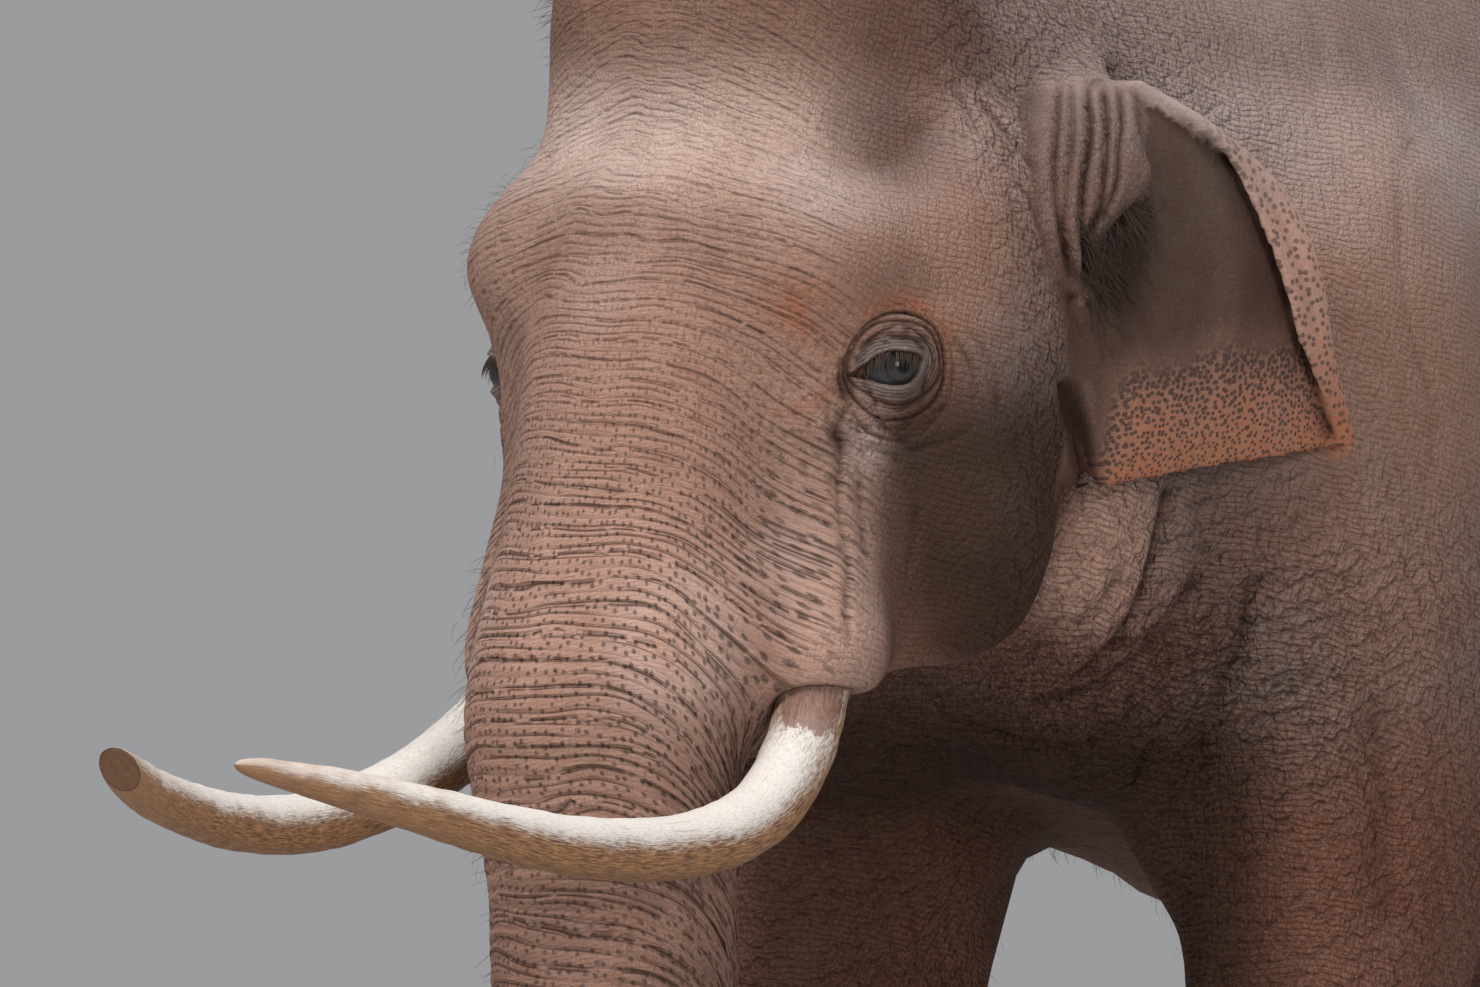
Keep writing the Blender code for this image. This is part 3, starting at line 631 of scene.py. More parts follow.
def flattened(p):
    """Points seen from the front quarter: across, a little of the depth, and height."""
    across = QUARTER_FRONT * p[:, 0] + QUARTER_SIDE * p[:, 1]
    depth = QUARTER_SIDE * p[:, 0] - QUARTER_FRONT * p[:, 1]
    return np.stack((across, 0.15 * depth, p[:, 2]), axis=1)


def creased(p, widest=1.0):
    """How far each point moves along its normal for the deep creases, up to the widest asked for."""
    move = np.zeros(len(p))
    pleats = [(depth, 0.0046, EAR_FRONT[1:, column + 1]) for column, depth in enumerate(PLEAT_DEPTHS)]
    for depth, width, line in (*CREASES, *pleats):
        if width > widest:
            continue
        line = refined(line, 24) if len(line) > 2 else line
        reach = 5.0 * width + 0.03
        near = np.flatnonzero(np.all((p > line.min(0) - reach) & (p < line.max(0) + reach), axis=1))
        far, share = near_line(flattened(p[near]), flattened(line))
        ends = ramp(share, 0.0, 0.16) * ramp(share, 1.0, 0.84)
        ridge = 0.22 * bell(far - 2.6 * width, 1.5 * width)
        move[near] += depth * ends * (ridge - bell(far, width))
    return move


def trunk_place(p):
    """Where a point of the face or trunk lies: its angle from the front, and how far down the trunk."""
    line = refined(TRUNK_LINE, 64)
    lengths = lengths_along(line)
    slopes = np.gradient(line, axis=0)
    slopes /= np.linalg.norm(slopes, axis=1)[:, None]
    near = np.flatnonzero((p[:, 1] < 0.42) & (p[:, 0] < 0.55))
    yz = p[near, 1:]
    nearest = np.min([((yz - station) ** 2).sum(1) for station in line[::3]], axis=0)
    total = np.zeros(len(near))
    length_sum = np.zeros(len(near))
    front_sum = np.zeros(len(near))
    for station, length, slope in zip(line, lengths, slopes):
        step = yz - station
        share = np.exp(-((step**2).sum(1) - nearest) / 0.006)
        total += share
        length_sum += share * length
        front_sum += share * (step @ np.array((slope[1], -slope[0])))
    down = np.zeros(len(p))
    front = np.full(len(p), -1.0)
    # Above its curl the trunk hangs straight, and level rings lie level.
    curl = ramp(p[near, 2], 0.62, 0.38)
    down[near] = length_sum / total * curl + (2.60 - p[near, 2]) * (1 - curl)
    front[near] = front_sum / total
    return np.arctan2(p[:, 0], front), down


def drooped(angle, down):
    """The length down the trunk that a ring starts from in front: rings droop towards its sides."""
    return down - 0.075 * np.clip(np.abs(angle) - 0.45, 0.0, 1.8) ** 2


def on_trunk(p):
    """1 on the trunk below the tusks, fading up the face to 0 above the eyes and off to its sides."""
    side = 0.20 + 0.10 * ramp(p[:, 2], 1.48, 1.60)
    back = ramp(p[:, 1], 0.02, -0.05)
    face = ramp(p[:, 2], 2.45, 1.95) * ramp(p[:, 0], side + 0.03, side - 0.03)
    return face * back


def eye_place(p):
    """How far each point is from the eyeball's centre: forward of the gaze, above it and out along it."""
    gaze = np.array(GAZE)
    fore = np.array((GAZE.y, -GAZE.x, 0.0))
    fore /= np.linalg.norm(fore)
    rise = np.cross(fore, gaze)
    centre = np.array((EYE.x, EYE_BACK, EYE.z)) - gaze * EYEBALL_SUNK
    step = p - centre
    return step @ fore, step @ rise, step @ gaze


def opening(fore, rise):
    """Distance from the edge of the lids' opening, negative inside it."""
    flat = np.stack((fore, rise), axis=1)
    edge = refined(LID_EDGE + LID_EDGE[:1], 48)
    far, _ = near_line(flat, edge)
    inside = np.zeros(len(flat), bool)
    for (ax, ay), (bx, by) in zip(edge, edge[1:]):
        crosses = (ay > rise) != (by > rise)
        with np.errstate(divide="ignore", invalid="ignore"):
            where = ax + (rise - ay) * (bx - ax) / (by - ay)
        inside ^= crosses & (fore < where)
    return np.where(inside, -far, far)


def lid_folds(fore, rise, gap):
    """The swell beside the folds round the eye, and the folds' own depth."""
    swell = np.zeros(len(fore))
    cut = np.zeros(len(fore))
    flat = np.zeros(len(fore))
    for inner, outer, over, over_depth, under, under_depth in LID_FOLDS:
        middle = (inner - outer) / 2
        width = (inner + outer) / 2
        height = np.where(rise > 0, over, under)
        depth = under_depth + (over_depth - under_depth) * ramp(rise, -0.012, 0.012)
        turn = np.hypot((fore - middle) / width, rise / height)
        off = (turn - 1.0) * np.where(np.abs(rise) > 0.5 * height, height, 0.5 * (width + height))
        off = off + 0.0040 * LUMPS.at(np.stack((fore * 26, rise * 26, flat + inner * 90), axis=1))
        broken = 0.50 + 0.55 * LUMPS.at(np.stack((fore * 48, rise * 48, flat + inner * 300), axis=1))
        cut += depth * np.clip(0.45 + broken, 0.0, None) * bell(off, 0.0022)
        swell += 0.30 * depth * bell(off - 0.006, 0.004)
    for height in (0.0055, 0.0095, 0.0130, 0.0165, 0.0200, 0.0240):
        wander = 0.0022 * LUMPS.at(np.stack((fore * 34, rise * 34, flat + height * 900), axis=1))
        over = ramp(rise, -0.006, 0.002)
        cut += 0.0022 * bell(gap - height + wander, 0.0010) * over
        cut += 0.0015 * bell(gap - height * 1.25 + wander, 0.0011) * (1 - over)
    return swell, cut


def lidded(p):
    """Points near the eye moved into lids, with the opening cut back behind the eyeball's front."""
    fore, rise, out = eye_place(p)
    near = np.flatnonzero((np.hypot(fore, rise) < 0.130) & (out > -0.04) & (out < 0.09))
    moved = p.copy()
    f, r, o = fore[near], rise[near], out[near]
    gap = opening(f, r)
    spread = np.hypot(f, r)
    # The lids lie on the eyeball; the skin round them keeps its own level.
    dome = np.sqrt(np.clip((EYEBALL_RADIUS + LID_THICKNESS) ** 2 - spread**2, 0.0, None))
    on_ball = ramp(spread, 0.050, 0.026)
    level = np.maximum(o, o + (dome - o) * on_ball)
    hood = 0.009 * bell(r - 0.040, 0.022) * bell(f, 0.052)
    bag = 0.006 * bell(r + 0.037, 0.012) * bell(f - 0.008, 0.036)
    bag = bag + 0.004 * bell(r + 0.060, 0.010) * bell(f, 0.05)
    rise_up, cut = lid_folds(f, r, gap)
    level = level + hood + bag + rise_up - cut
    corner = bell(np.hypot((f - 0.066) * 0.8, r + 0.016), 0.011)
    level -= 0.005 * corner
    rim = 0.0012 * bell(gap - 0.0028, 0.0020)
    level += rim
    inside = ramp(gap, 0.0007, -0.0022)
    sunk = np.minimum(level, np.sqrt(np.clip(CLEFT_RADIUS**2 - spread**2, 0.0, None)) - 0.001)
    sunk = np.where(spread > CLEFT_RADIUS - 0.0005, level - 0.012, sunk)
    level = level * (1.0 - inside) + sunk * inside
    gaze = np.array(GAZE)
    moved[near] += (level - o)[:, None] * gaze
    return moved


def finer(thing, tests):
    """Splits the faces that each test picks, one round for each test."""
    shape = bmesh.new()
    shape.from_mesh(thing.data)
    for test in tests:
        centres = np.array([face.calc_center_median() for face in shape.faces])
        picked = np.flatnonzero(test(from_face(centres)))
        shape.faces.ensure_lookup_table()
        edges = {edge for index in picked for edge in shape.faces[index].edges}
        bmesh.ops.subdivide_edges(shape, edges=list(edges), cuts=1, use_grid_fill=True, smooth=0.0)
    shape.to_mesh(thing.data)
    shape.free()
    thing.data.update()


def near_eye(p, reach):
    fore, rise, out = eye_place(p)
    return (np.hypot(fore, rise) < reach) & (out > -0.04) & (out < 0.09)


def by_pleats(p):
    """The box round the pleats in front of the ear."""
    low = np.array((0.26, 0.25, 1.98))
    high = np.array((0.48, 0.47, 2.33))
    return np.all((p > low) & (p < high), axis=1)


def by_rings(p):
    """The front of the trunk, below the face."""
    return (p[:, 2] < 1.62) & (p[:, 1] < -0.03) & (p[:, 0] < 0.24)


def veins(points, stray=0.0):
    """1 along thin wandering lines, and less away from them."""
    return 1.0 - np.abs(LUMPS.at(points + stray))


def trunk_rings(p, points, trunk):
    """Rings round the trunk, deeper towards its tip and broken in places."""
    z = p[:, 2]
    slow = LUMPS.at(points * (5, 5, 16)) * 0.55 + LUMPS.at(points * (14, 14, 30) + 9.0) * 0.25
    ring = drooped(*trunk_place(p)) / RING_SPACING + slow
    breaks = ramp(LUMPS.at(points * (9, 9, 42) + 31.0), -0.55, 0.25)
    groove = bell((ring % 1.0) - 0.5, 0.17)
    deep = 0.0005 + 0.0020 * ramp(z, 1.72, 1.52) + 0.0026 * ramp(z, 1.50, 1.25)
    deep = deep * ramp(z, 2.02, 1.82)
    return -deep * trunk * (0.25 + 0.75 * breaks) * (groove - 0.35)


def neck_folds(p, points, off_ear):
    """The slack hide of the neck and chest."""
    slack = bell(p[:, 1] - 0.60, 0.22) * bell(p[:, 2] - 1.50, 0.26) * off_ear
    rough = veins(points * (26, 26, 22) + 3.0, LUMPS.at(points * 9)[:, None] * 0.6)
    fold = veins(points * (11, 9, 7) + 15.0)
    return -(slack * (0.0042 * (rough**5 - 0.25) + 0.0034 * (fold**6 - 0.2)))


def side_folds(p, points):
    """Sagging folds down the barrel of the body."""
    barrel = ramp(p[:, 1], 0.75, 1.05) * ramp(p[:, 2], 0.95, 1.25) * ramp(p[:, 0], 0.15, 0.35)
    sag = veins(points * (3.0, 6.5, 1.5) + 51.0, LUMPS.at(points * 5.0)[:, None] * 0.35)
    pucker = veins(points * (6.0, 13.0, 4.5) + 61.0, LUMPS.at(points * 8.0)[:, None] * 0.40)
    return -(barrel * (0.011 * (sag**8 - 0.15) + 0.0055 * (pucker**9 - 0.12)))


def leg_wrinkles(p, points):
    """Wrinkles across the knees, ankles and elbows."""
    _, y, z = p.T
    legs = ramp(y, 0.60, 0.70) * ramp(z, 1.15, 1.00) * ramp(z, 0.06, 0.10)
    bent = bell(z - 0.62, 0.16) + bell(z - 0.17, 0.09) + 0.5 * bell(z - 0.98, 0.14)
    bands = z / 0.040 + 0.9 * LUMPS.at(points * (7, 7, 9) + 71.0)
    torn = ramp(LUMPS.at(points * (8, 8, 26) + 81.0), -0.45, 0.35)
    return -(legs * bent * torn * 0.0052 * (bell((bands % 1.0) - 0.5, 0.16) - 0.25))


def carved(hide):
    """The hide with its broad forms, creases, folds, rings and lids."""
    finer(
        hide,
        (
            lambda p: near_eye(p, 0.112) | by_pleats(p) | by_rings(p),
            lambda p: near_eye(p, 0.098),
        ),
    )
    points = places(hide.data)
    p = from_face(points)
    even = sum(spot(p, centre, reach) for centre, reach in CALM)
    smoothed(hide, CALM_PASSES, even * (1.0 - near_ear(points)) * (1.0 - on_pleats(points)))
    p = from_face(places(hide.data))
    settle = np.maximum(near_eye(p, 0.11), on_trunk(p) * (p[:, 2] < 1.64))
    smoothed(hide, CARVING_PASSES, settle)
    points = places(hide.data)
    p = from_face(points)
    side = np.where(points[:, 0] < 0, -1.0, 1.0)
    outward = directions(hide.data)
    outward[:, 0] *= side
    move = np.zeros(len(p))
    for centre, reach, step in FORMS:
        move += step * spot(p, centre, reach)
    p += outward * move[:, None]
    trunk = on_trunk(p)
    off_ear = 1 - near_ear(points)
    calm = off_ear * ramp(p[:, 2], 0.05, 0.15)
    body = ramp(p[:, 1], 0.35, 0.75)
    slow = 0.006 * LUMPS.at(points * 5.0 + 2.0) + 0.0025 * LUMPS.at(points * 13.0 + 5.0)
    quick = LUMPS.at(points * (22, 22, 30) + 7.0)
    move = creased(p)
    for step in (
        trunk_rings(p, points, trunk),
        neck_folds(p, points, off_ear),
        side_folds(p, points),
        leg_wrinkles(p, points),
        calm * body * slow,
        calm * (1 - body) * (1 - trunk) * (1 - on_pleats(points)) * 0.0012 * quick,
    ):
        move += step
    p += outward * move[:, None]
    p = lidded(p)
    p[:, 0] *= side
    p[:, 1] += FACE_PLANE
    p[:, 2] = np.maximum(p[:, 2], 0.0)
    put_places(hide.data, p)
    return hide


def thinned(hide):
    """Fewer triangles, kept densest round the eyes, then on the head, ears and trunk."""
    p = from_face(places(hide.data))
    head = ramp(p[:, 1], 0.85, 0.40)
    keep = np.where(near_eye(p, 0.10), 0.02, 1.0 - 0.72 * head)
    keep = np.minimum(keep, 1.0 - 0.90 * near_ear(places(hide.data)))
    keep = np.minimum(keep, 1.0 - 0.95 * by_pleats(p))
    keep = np.minimum(keep, 1.0 - 0.60 * ramp(p[:, 1], 1.05, 0.85) * ramp(p[:, 2], 1.05, 1.2))
    weights(hide, "open", keep)
    fewer = hide.modifiers.new("fewer", "DECIMATE")
    hide.data.calc_loop_triangles()
    fewer.ratio = HIDE_TRIANGLES / len(hide.data.loop_triangles)
    fewer.vertex_group = "open"
    fewer.vertex_group_factor = 2.0
    fewer.use_collapse_triangulate = True
    evaluated(hide)
    hide.vertex_groups.clear()
    return hide


# ---------------------------------------------------------------- marks on the hide


def mark(mesh, name, x, y, z):
    """Three values for each point, kept on the mesh for its material."""
    count = len(mesh.vertices)
    values = np.stack([np.broadcast_to(np.asarray(value, float), count) for value in (x, y, z)], axis=1)
    attribute = mesh.attributes.new(name, "FLOAT_VECTOR", "POINT")
    attribute.data.foreach_set("vector", values.astype(np.float32).ravel())


def hollows(mesh, rounds):
    """How far each point lies below the mean of its neighbours, in shares of their distance."""
    edges = np.empty(len(mesh.edges) * 2, np.int32)
    mesh.edges.foreach_get("vertices", edges)
    first, second = edges.reshape(-1, 2).T
    start = places(mesh)
    count = np.bincount(first, minlength=len(start)) + np.bincount(second, minlength=len(start))
    step = np.linalg.norm(start[first] - start[second], axis=1)
    size = (np.bincount(first, step, len(start)) + np.bincount(second, step, len(start))) / count
    points = start
    for _ in range(rounds):
        total = np.zeros_like(points)
        for axis in range(3):
            total[:, axis] += np.bincount(first, points[second, axis], len(points))
            total[:, axis] += np.bincount(second, points[first, axis], len(points))
        points = 0.5 * points + 0.5 * total / count[:, None]
    return ((points - start) * directions(mesh)).sum(1) / size


# How far round the trunk a radian goes, at each depth below the top of the crown.
TRUNK_GIRTH = (
    (0.0, 0.30),
    (0.5, 0.30),
    (0.8, 0.27),
    (1.05, 0.22),
    (1.2, 0.19),
    (1.5, 0.15),
    (1.9, 0.12),
    (2.2, 0.09),
    (2.6, 0.06),
)
# How closely the rings are gathered between one depth and the next.
RING_DEPTHS = (0.0, 0.5, 0.9, 1.2, 2.6)
RING_GATHERING = (1.50, 1.40, 1.10, 0.95)

# Patches of the left side, repeated on the right: (strength, centre, reach along side, back and height).
PALE_PATCHES = (
    (0.55, (0.155, -0.240, 1.555), (0.055, 0.090, 0.090)),
    (0.35, (0.262, -0.065, 1.560), (0.060, 0.060, 0.110)),
    (0.42, (0.060, -0.060, 2.200), (0.200, 0.200, 0.090)),
    (0.30, (0.292, 0.006, 1.795), (0.030, 0.040, 0.030)),
)
DARK_PATCHES = (
    (0.15, (0.285, -0.020, 1.820), (0.035, 0.045, 0.050)),
    (0.90, (0.258, -0.036, 1.812), (0.016, 0.016, 0.030)),
)
DUSTY_PATCHES = (
    (0.90, (0.300, 0.600, 2.450), (0.100, 0.300, 0.220)),
    (0.15, (0.250, -0.080, 2.080), (0.110, 0.100, 0.050)),
    (1.40, (0.300, -0.010, 2.005), (0.007, 0.007, 0.009)),
    (0.60, (0.282, -0.005, 1.800), (0.030, 0.050, 0.035)),
)
# An orange streak from the eye's inner corner down to the trunk.
TEAR_STREAK = ((0.262, -0.060, 1.862), (0.215, -0.105, 1.838), (0.150, -0.190, 1.822))


def strongest(p, patches):
    return np.maximum.reduce([strength * spot(p, centre, reach) for strength, centre, reach in patches])


class Marks:
    """Where each point of the hide lies, and the values that its finish takes from that."""

    def __init__(self, mesh):
        self.mesh = mesh
        self.points = places(mesh)
        self.p = p = from_face(self.points)
        x, y, z = p.T
        self.angle, self.down = trunk_place(p)
        self.trunk = on_trunk(p)
        self.face = ramp(y, 0.10, -0.02) * ramp(z, 2.62, 2.40) * ramp(x, 0.33, 0.26)
        self.pleats = on_pleats(self.points)
        self.slow = LUMPS.at(self.points * 3.0 + 11.0)
        self.mid = LUMPS.at(self.points * 9.0 + 23.0)
        self.drips = LUMPS.at(self.points * (56.0, 56.0, 12.0) + 41.0)
        far, self.column = ear_reach(self.points)
        self.ear = ramp(far, 0.026, 0.016)
        self.off_ear = 1 - self.ear
        self.margin = self.ear * ramp(self.column, 31.0, 38.0)
        level = z + 0.05 * self.slow + 0.03 * self.mid + 0.018 * self.drips + 0.11 * (0.60 - y)
        self.low_ear = self.ear * ramp(level, 1.995, 1.775) * ramp(y, 0.33, 0.37)
        # Painted shadow along the furrow between the cheek and the lower ear.
        furrow, _ = near_line(p, EAR_FURROW[2])
        self.furrow = 0.95 * bell(furrow, 0.016) * ramp(z, 1.90, 1.84)
        # The fold of the neck under the ear, painted pink and lighter partly as light, where the ear and
        # head shade it.
        self.lit_neck_fold = spot(p, (0.335, 0.470, 1.660), (0.075, 0.080, 0.115))
        self.pink_lit_fold = np.clip(1.9 * self.lit_neck_fold, 0.0, 1.0) * self.off_ear
        self.lip = spot(p, (0.150, -0.250, 1.555), (0.050, 0.090, 0.085))
        self.fore, self.rise, self.out = eye_place(p)
        self.by_eye = np.flatnonzero(near_eye(p, 0.125))
        self.gap = np.full(len(p), 0.2)
        self.gap[self.by_eye] = opening(self.fore[self.by_eye], self.rise[self.by_eye])

    def lie(self):
        """Flat places for rings and freckles: round and down the trunk, or back and up an ear."""
        _, y, z = self.p.T
        right = self.points[:, 0] < 0
        girth = 0.74 * np.interp(self.down, *np.array(TRUNK_GIRTH).T)
        round_it = np.where(right, -1.0, 1.0) * self.angle * girth
        along = drooped(self.angle, self.down)
        gathered = np.cumsum([0.0, *(np.diff(RING_DEPTHS) * RING_GATHERING)])
        blade = self.ear > 0.5
        shrink = np.where(self.column > 36, 0.76, 1.25)
        across = np.where(blade, (np.where(right, 7.0, 3.0) + y) * shrink, round_it)
        rings = np.interp(along, RING_DEPTHS, gathered)
        mark(self.mesh, "lie", across, np.where(blade, z * shrink, along), rings)

    def hollow(self):
        """Painted shade by how deep in a fold, a painted highlight by how high on a ridge, and the
        paleness, with painted light on the fold under the ear.
        """
        # Painted shade in hollows, in the eye's folds, in the carved creases and along the furrow under the
        # ear.
        hollow = 0.6 * hollows(self.mesh, 4) + 0.8 * hollows(self.mesh, 16)
        near = self.by_eye
        _, cut = lid_folds(self.fore[near], self.rise[near], self.gap[near])
        hollow[near] = np.maximum(hollow[near], cut / 0.0042)
        hollow = np.maximum(hollow, np.clip(-creased(self.p, 0.006) / 0.0070 - 0.1, 0.0, 0.95))
        hollow = np.maximum(hollow, self.furrow)
        # Paler on the fold under the ear as painted light, and on the paler patches of the hide.
        pale_and_lit = 0.95 * ramp(self.lit_neck_fold, 0.15, 0.75) * self.off_ear
        pale_and_lit = np.maximum(pale_and_lit, strongest(self.p, PALE_PATCHES))
        mark(self.mesh, "hollow", np.clip(hollow, 0.0, 1.0), np.clip(-hollow, 0.0, 1.0), pale_and_lit)

    def facing(self):
        """On the pleats, and how squarely the hide faces away from the back and the height."""
        level = 1.0 - directions(self.mesh) ** 2
        mark(self.mesh, "facing", self.pleats, level[:, 1], level[:, 2])

    def kind(self):
        """Ringed, on an ear, and slack."""
        _, y, z = self.p.T
        ringed = np.maximum(self.trunk, 0.60 * self.face) * (1 - 0.45 * ramp(z, 1.66, 1.84))
        under_eye = spot(self.p, (0.285, -0.020, 1.815), (0.05, 0.05, 0.05))
        parts = (
            bell(y - 0.62, 0.26) * bell(z - 1.46, 0.30) * self.off_ear,
            0.8 * ramp(z, 1.25, 0.9) * bell(y - 1.35, 0.2),
            0.45 * ramp(z, 1.85, 1.60) * ramp(y, 0.40, 0.60) * self.off_ear,
            0.8 * under_eye * (1 - 0.8 * self.trunk),
            0.5 * ramp(y, 0.10, 0.25) * ramp(y, 0.9, 0.5) * self.off_ear,
        )
        slack = np.maximum.reduce(parts) * (1 - 0.8 * self.pleats)
        slack = np.maximum(slack, 0.5 * ramp(z, 1.25, 0.95) * ramp(y, 0.5, 0.7))
        mark(self.mesh, "kind", ringed, self.ear, slack)

    def lids(self):
        """On a lid, the distance from its edge, and the red earth of the chest and lower trunk, on the
        chest also painted shade.
        """
        x, y, z = self.p.T
        lid = ramp(np.hypot(self.fore / 0.062, (self.rise + 0.002) / 0.064), 1.02, 0.88)
        lid = lid * (self.out > -0.03) * ramp(self.gap, 0.0005, 0.002)
        # The chest under the head, painted red and darker, partly as shade.
        chest = ramp(z, 1.66, 1.52) * bell(y - 0.52, 0.16) * ramp(y, 0.30, 0.42) * ramp(x, 0.50, 0.40)
        chest = chest * (1 - self.trunk) * self.off_ear
        red = np.maximum(chest, 0.48 * self.trunk * ramp(z, 1.42, 1.10))
        mark(self.mesh, "lids", lid, self.gap, np.clip(red, 0.0, 1.0))

    def tint(self):
        """Pink, dark and muddy: painted shade in the ear hole, the furrow under the ear and the eye's inner
        corner, and partly on the cheek and jaw; painted light partly in the pink of the fold under the ear.
        """
        p = self.p
        x, y, z = p.T
        rim = self.margin * ramp(z, 2.26, 2.14)
        sheath = spot(p, (0.262, -0.065, 1.560), (0.060, 0.060, 0.110))
        nose = self.trunk * ramp(z, 2.30, 1.55) * (0.55 + 0.3 * self.mid)
        nose = nose * ramp(np.abs(self.angle), 2.0, 0.9) * (0.35 + 0.65 * ramp(z, 1.0, 1.4))
        pink = np.maximum.reduce((self.low_ear, rim, 0.85 * sheath, self.lip, nose, self.pink_lit_fold))
        pink = np.clip(pink, 0.0, 1.0)
        # The cheek under the eye, painted dark partly as shade.
        cheek = ramp(x, 0.255, 0.315) * ramp(y, -0.015, 0.035) * ramp(y, 0.47, 0.36)
        cheek = cheek * ramp(z, 1.98, 1.80) * self.off_ear
        # The ear hole, painted dark as shade.
        hole = spot(p, (0.415, 0.335, 2.030), (0.045, 0.040, 0.080))
        hole = hole + spot(p, (0.435, 0.360, 2.085), (0.045, 0.040, 0.040))
        hole = np.clip(1.3 * hole, 0.0, 1.0) * (1 - self.pleats)
        inner = self.ear * (0.92 - 0.08 * self.slow) * (1 - self.margin) * (1 - self.low_ear)
        inner = inner * (1 - self.pleats)
        # The jaw below the ear, painted dark and muddy partly as shade.
        jaw = ramp(z, 1.50, 1.36) * bell(y - 0.50, 0.35) * ramp(x, 0.50, 0.36)
        jaw = jaw * (1 - self.trunk) * (1 - self.pink_lit_fold)
        temple = spot(p, (0.262, 0.100, 2.190), (0.080, 0.090, 0.075)) + 0.75 * ramp(z, 2.22, 2.33)
        lids = ramp(np.hypot(self.fore, self.rise), 0.066, 0.046) * (self.out > -0.03)
        # The eye's inner corner, painted dark as shade.
        corner_shade = np.clip(1.8 * spot(p, (0.265, -0.031, 1.876), (0.014, 0.014, 0.017)), 0.0, 1.0)
        parts = (cheek, hole, inner, self.furrow, 0.55 * self.pleats, strongest(p, DARK_PATCHES))
        parts = parts + (1.25 * jaw, 0.58 * temple, 0.30 * lids, 0.9 * corner_shade)
        dark = np.clip(np.maximum.reduce(parts), 0.0, 1.0)
        belly = (1.25 - 0.35 * ramp(y, 1.2, 1.8)) * ramp(z, 1.60, 1.25) * (1 - self.trunk)
        mud_and_shade = np.maximum(ramp(self.slow + 0.5 * self.mid, -0.5, 0.6), belly)
        mud_and_shade = mud_and_shade * (0.3 + 0.7 * ramp(z, 1.9, 1.3)) * (1 - pink)
        behind_eye = 0.9 * spot(p, (0.365, 0.05, 1.86), (0.05, 0.06, 0.06))
        parts = (mud_and_shade, 1.1 * temple, 0.9 * jaw, 0.8 * self.trunk * ramp(z, 1.35, 1.0), behind_eye)
        mud_and_shade = np.maximum.reduce((*parts, 0.35 * self.pleats))
        mark(self.mesh, "tint", pink, dark, np.clip(mud_and_shade, 0.0, 1.25))

    def wear(self):
        """Dusty, partly painted light on upward faces and the fold under the ear; on the face or trunk; and
        orange on the left side.
        """
        p = self.p
        _, y, z = p.T
        brow = spot(p, (0.270, -0.110, 1.965), (0.050, 0.070, 0.035))
        ring = bell(np.hypot(self.fore / 0.070, self.rise / 0.074) - 1.10, 0.16) * (self.out > -0.04)
        ring = ring * (0.30 + 0.35 * ramp(self.rise, 0.01, 0.05))
        ring = ring * ramp(self.mid + 0.8 * self.drips, -0.9, 0.5)
        streak, _ = near_line(p, TEAR_STREAK)
        orange = np.maximum(brow, ring) + 0.9 * bell(streak, 0.010)
        orange = orange * ramp(self.points[:, 0], -0.02, 0.05) + 0.85 * self.low_ear
        # Upward faces are painted lighter, partly as dusty colour and partly as light from above.
        upward = ramp(directions(self.mesh)[:, 2] + 0.25 * self.mid, 0.15, 0.9)
        forehead = spot(p, (0.06, -0.02, 2.20), (0.20, 0.20, 0.08)) + 0.8 * ramp(z, 2.36, 2.46)
        nape = ramp(y, 0.45, 0.62) * ramp(z, 1.94, 2.28)
        edge = self.margin * (0.15 + 0.75 * ramp(z, 2.15, 2.25))
        parts = (0.80 * upward, edge, 0.80 * forehead, 0.75 * nape, 0.95 * self.lip)
        dust_and_light = np.maximum.reduce((*parts, strongest(p, DUSTY_PATCHES))) * (1 - 0.5 * self.pleats)
        # The fold under the ear is painted lighter as light, where the ear and head shade it.
        dust_and_light = np.maximum(dust_and_light, 0.9 * self.pink_lit_fold)
        face = np.maximum(self.face, self.trunk)
        mark(self.mesh, "wear", np.clip(dust_and_light, 0.0, 1.0), face, np.clip(orange, 0.0, 1.0))


def marked(hide):
    marks = Marks(hide.data)
    for keep in (marks.lie, marks.hollow, marks.facing, marks.kind, marks.lids, marks.tint, marks.wear):
        keep()


# ---------------------------------------------------------------- materials


class Wire:
    """A value in a material. Arithmetic on it adds Math nodes."""

    def __init__(self, tree, socket):
        self.tree = tree
        self.socket = socket

    def math(self, operation, *others, clamp=False):
        node = self.tree.nodes.new("ShaderNodeMath")
        node.operation = operation
        node.use_clamp = clamp
        for place, value in zip(node.inputs, (self, *others)):
            join(self.tree, place, value)
        return Wire(self.tree, node.outputs[0])

    def __add__(self, other):
        return self.math("ADD", other)

    def __sub__(self, other):
        return self.math("SUBTRACT", other)

    def __mul__(self, other):
        return self.math("MULTIPLY", other)

    def __truediv__(self, other):
        return self.math("DIVIDE", other)

    def __pow__(self, other):
        return self.math("POWER", other)

    def __radd__(self, other):
        return self.math("ADD", other)

    def __rmul__(self, other):
        return self.math("MULTIPLY", other)

    def __rsub__(self, other):
        return (self * -1.0).math("ADD", other)

    def most(self, other):
        return self.math("MAXIMUM", other)

    def least(self, other):
        return self.math("MINIMUM", other)

    def kept(self):
        """Held between 0 and 1."""
        return self.math("ADD", 0.0, clamp=True)


def join(tree, place, value):
    if isinstance(value, Wire):
        tree.links.new(value.socket, place)
    elif value is not None:
        place.default_value = value


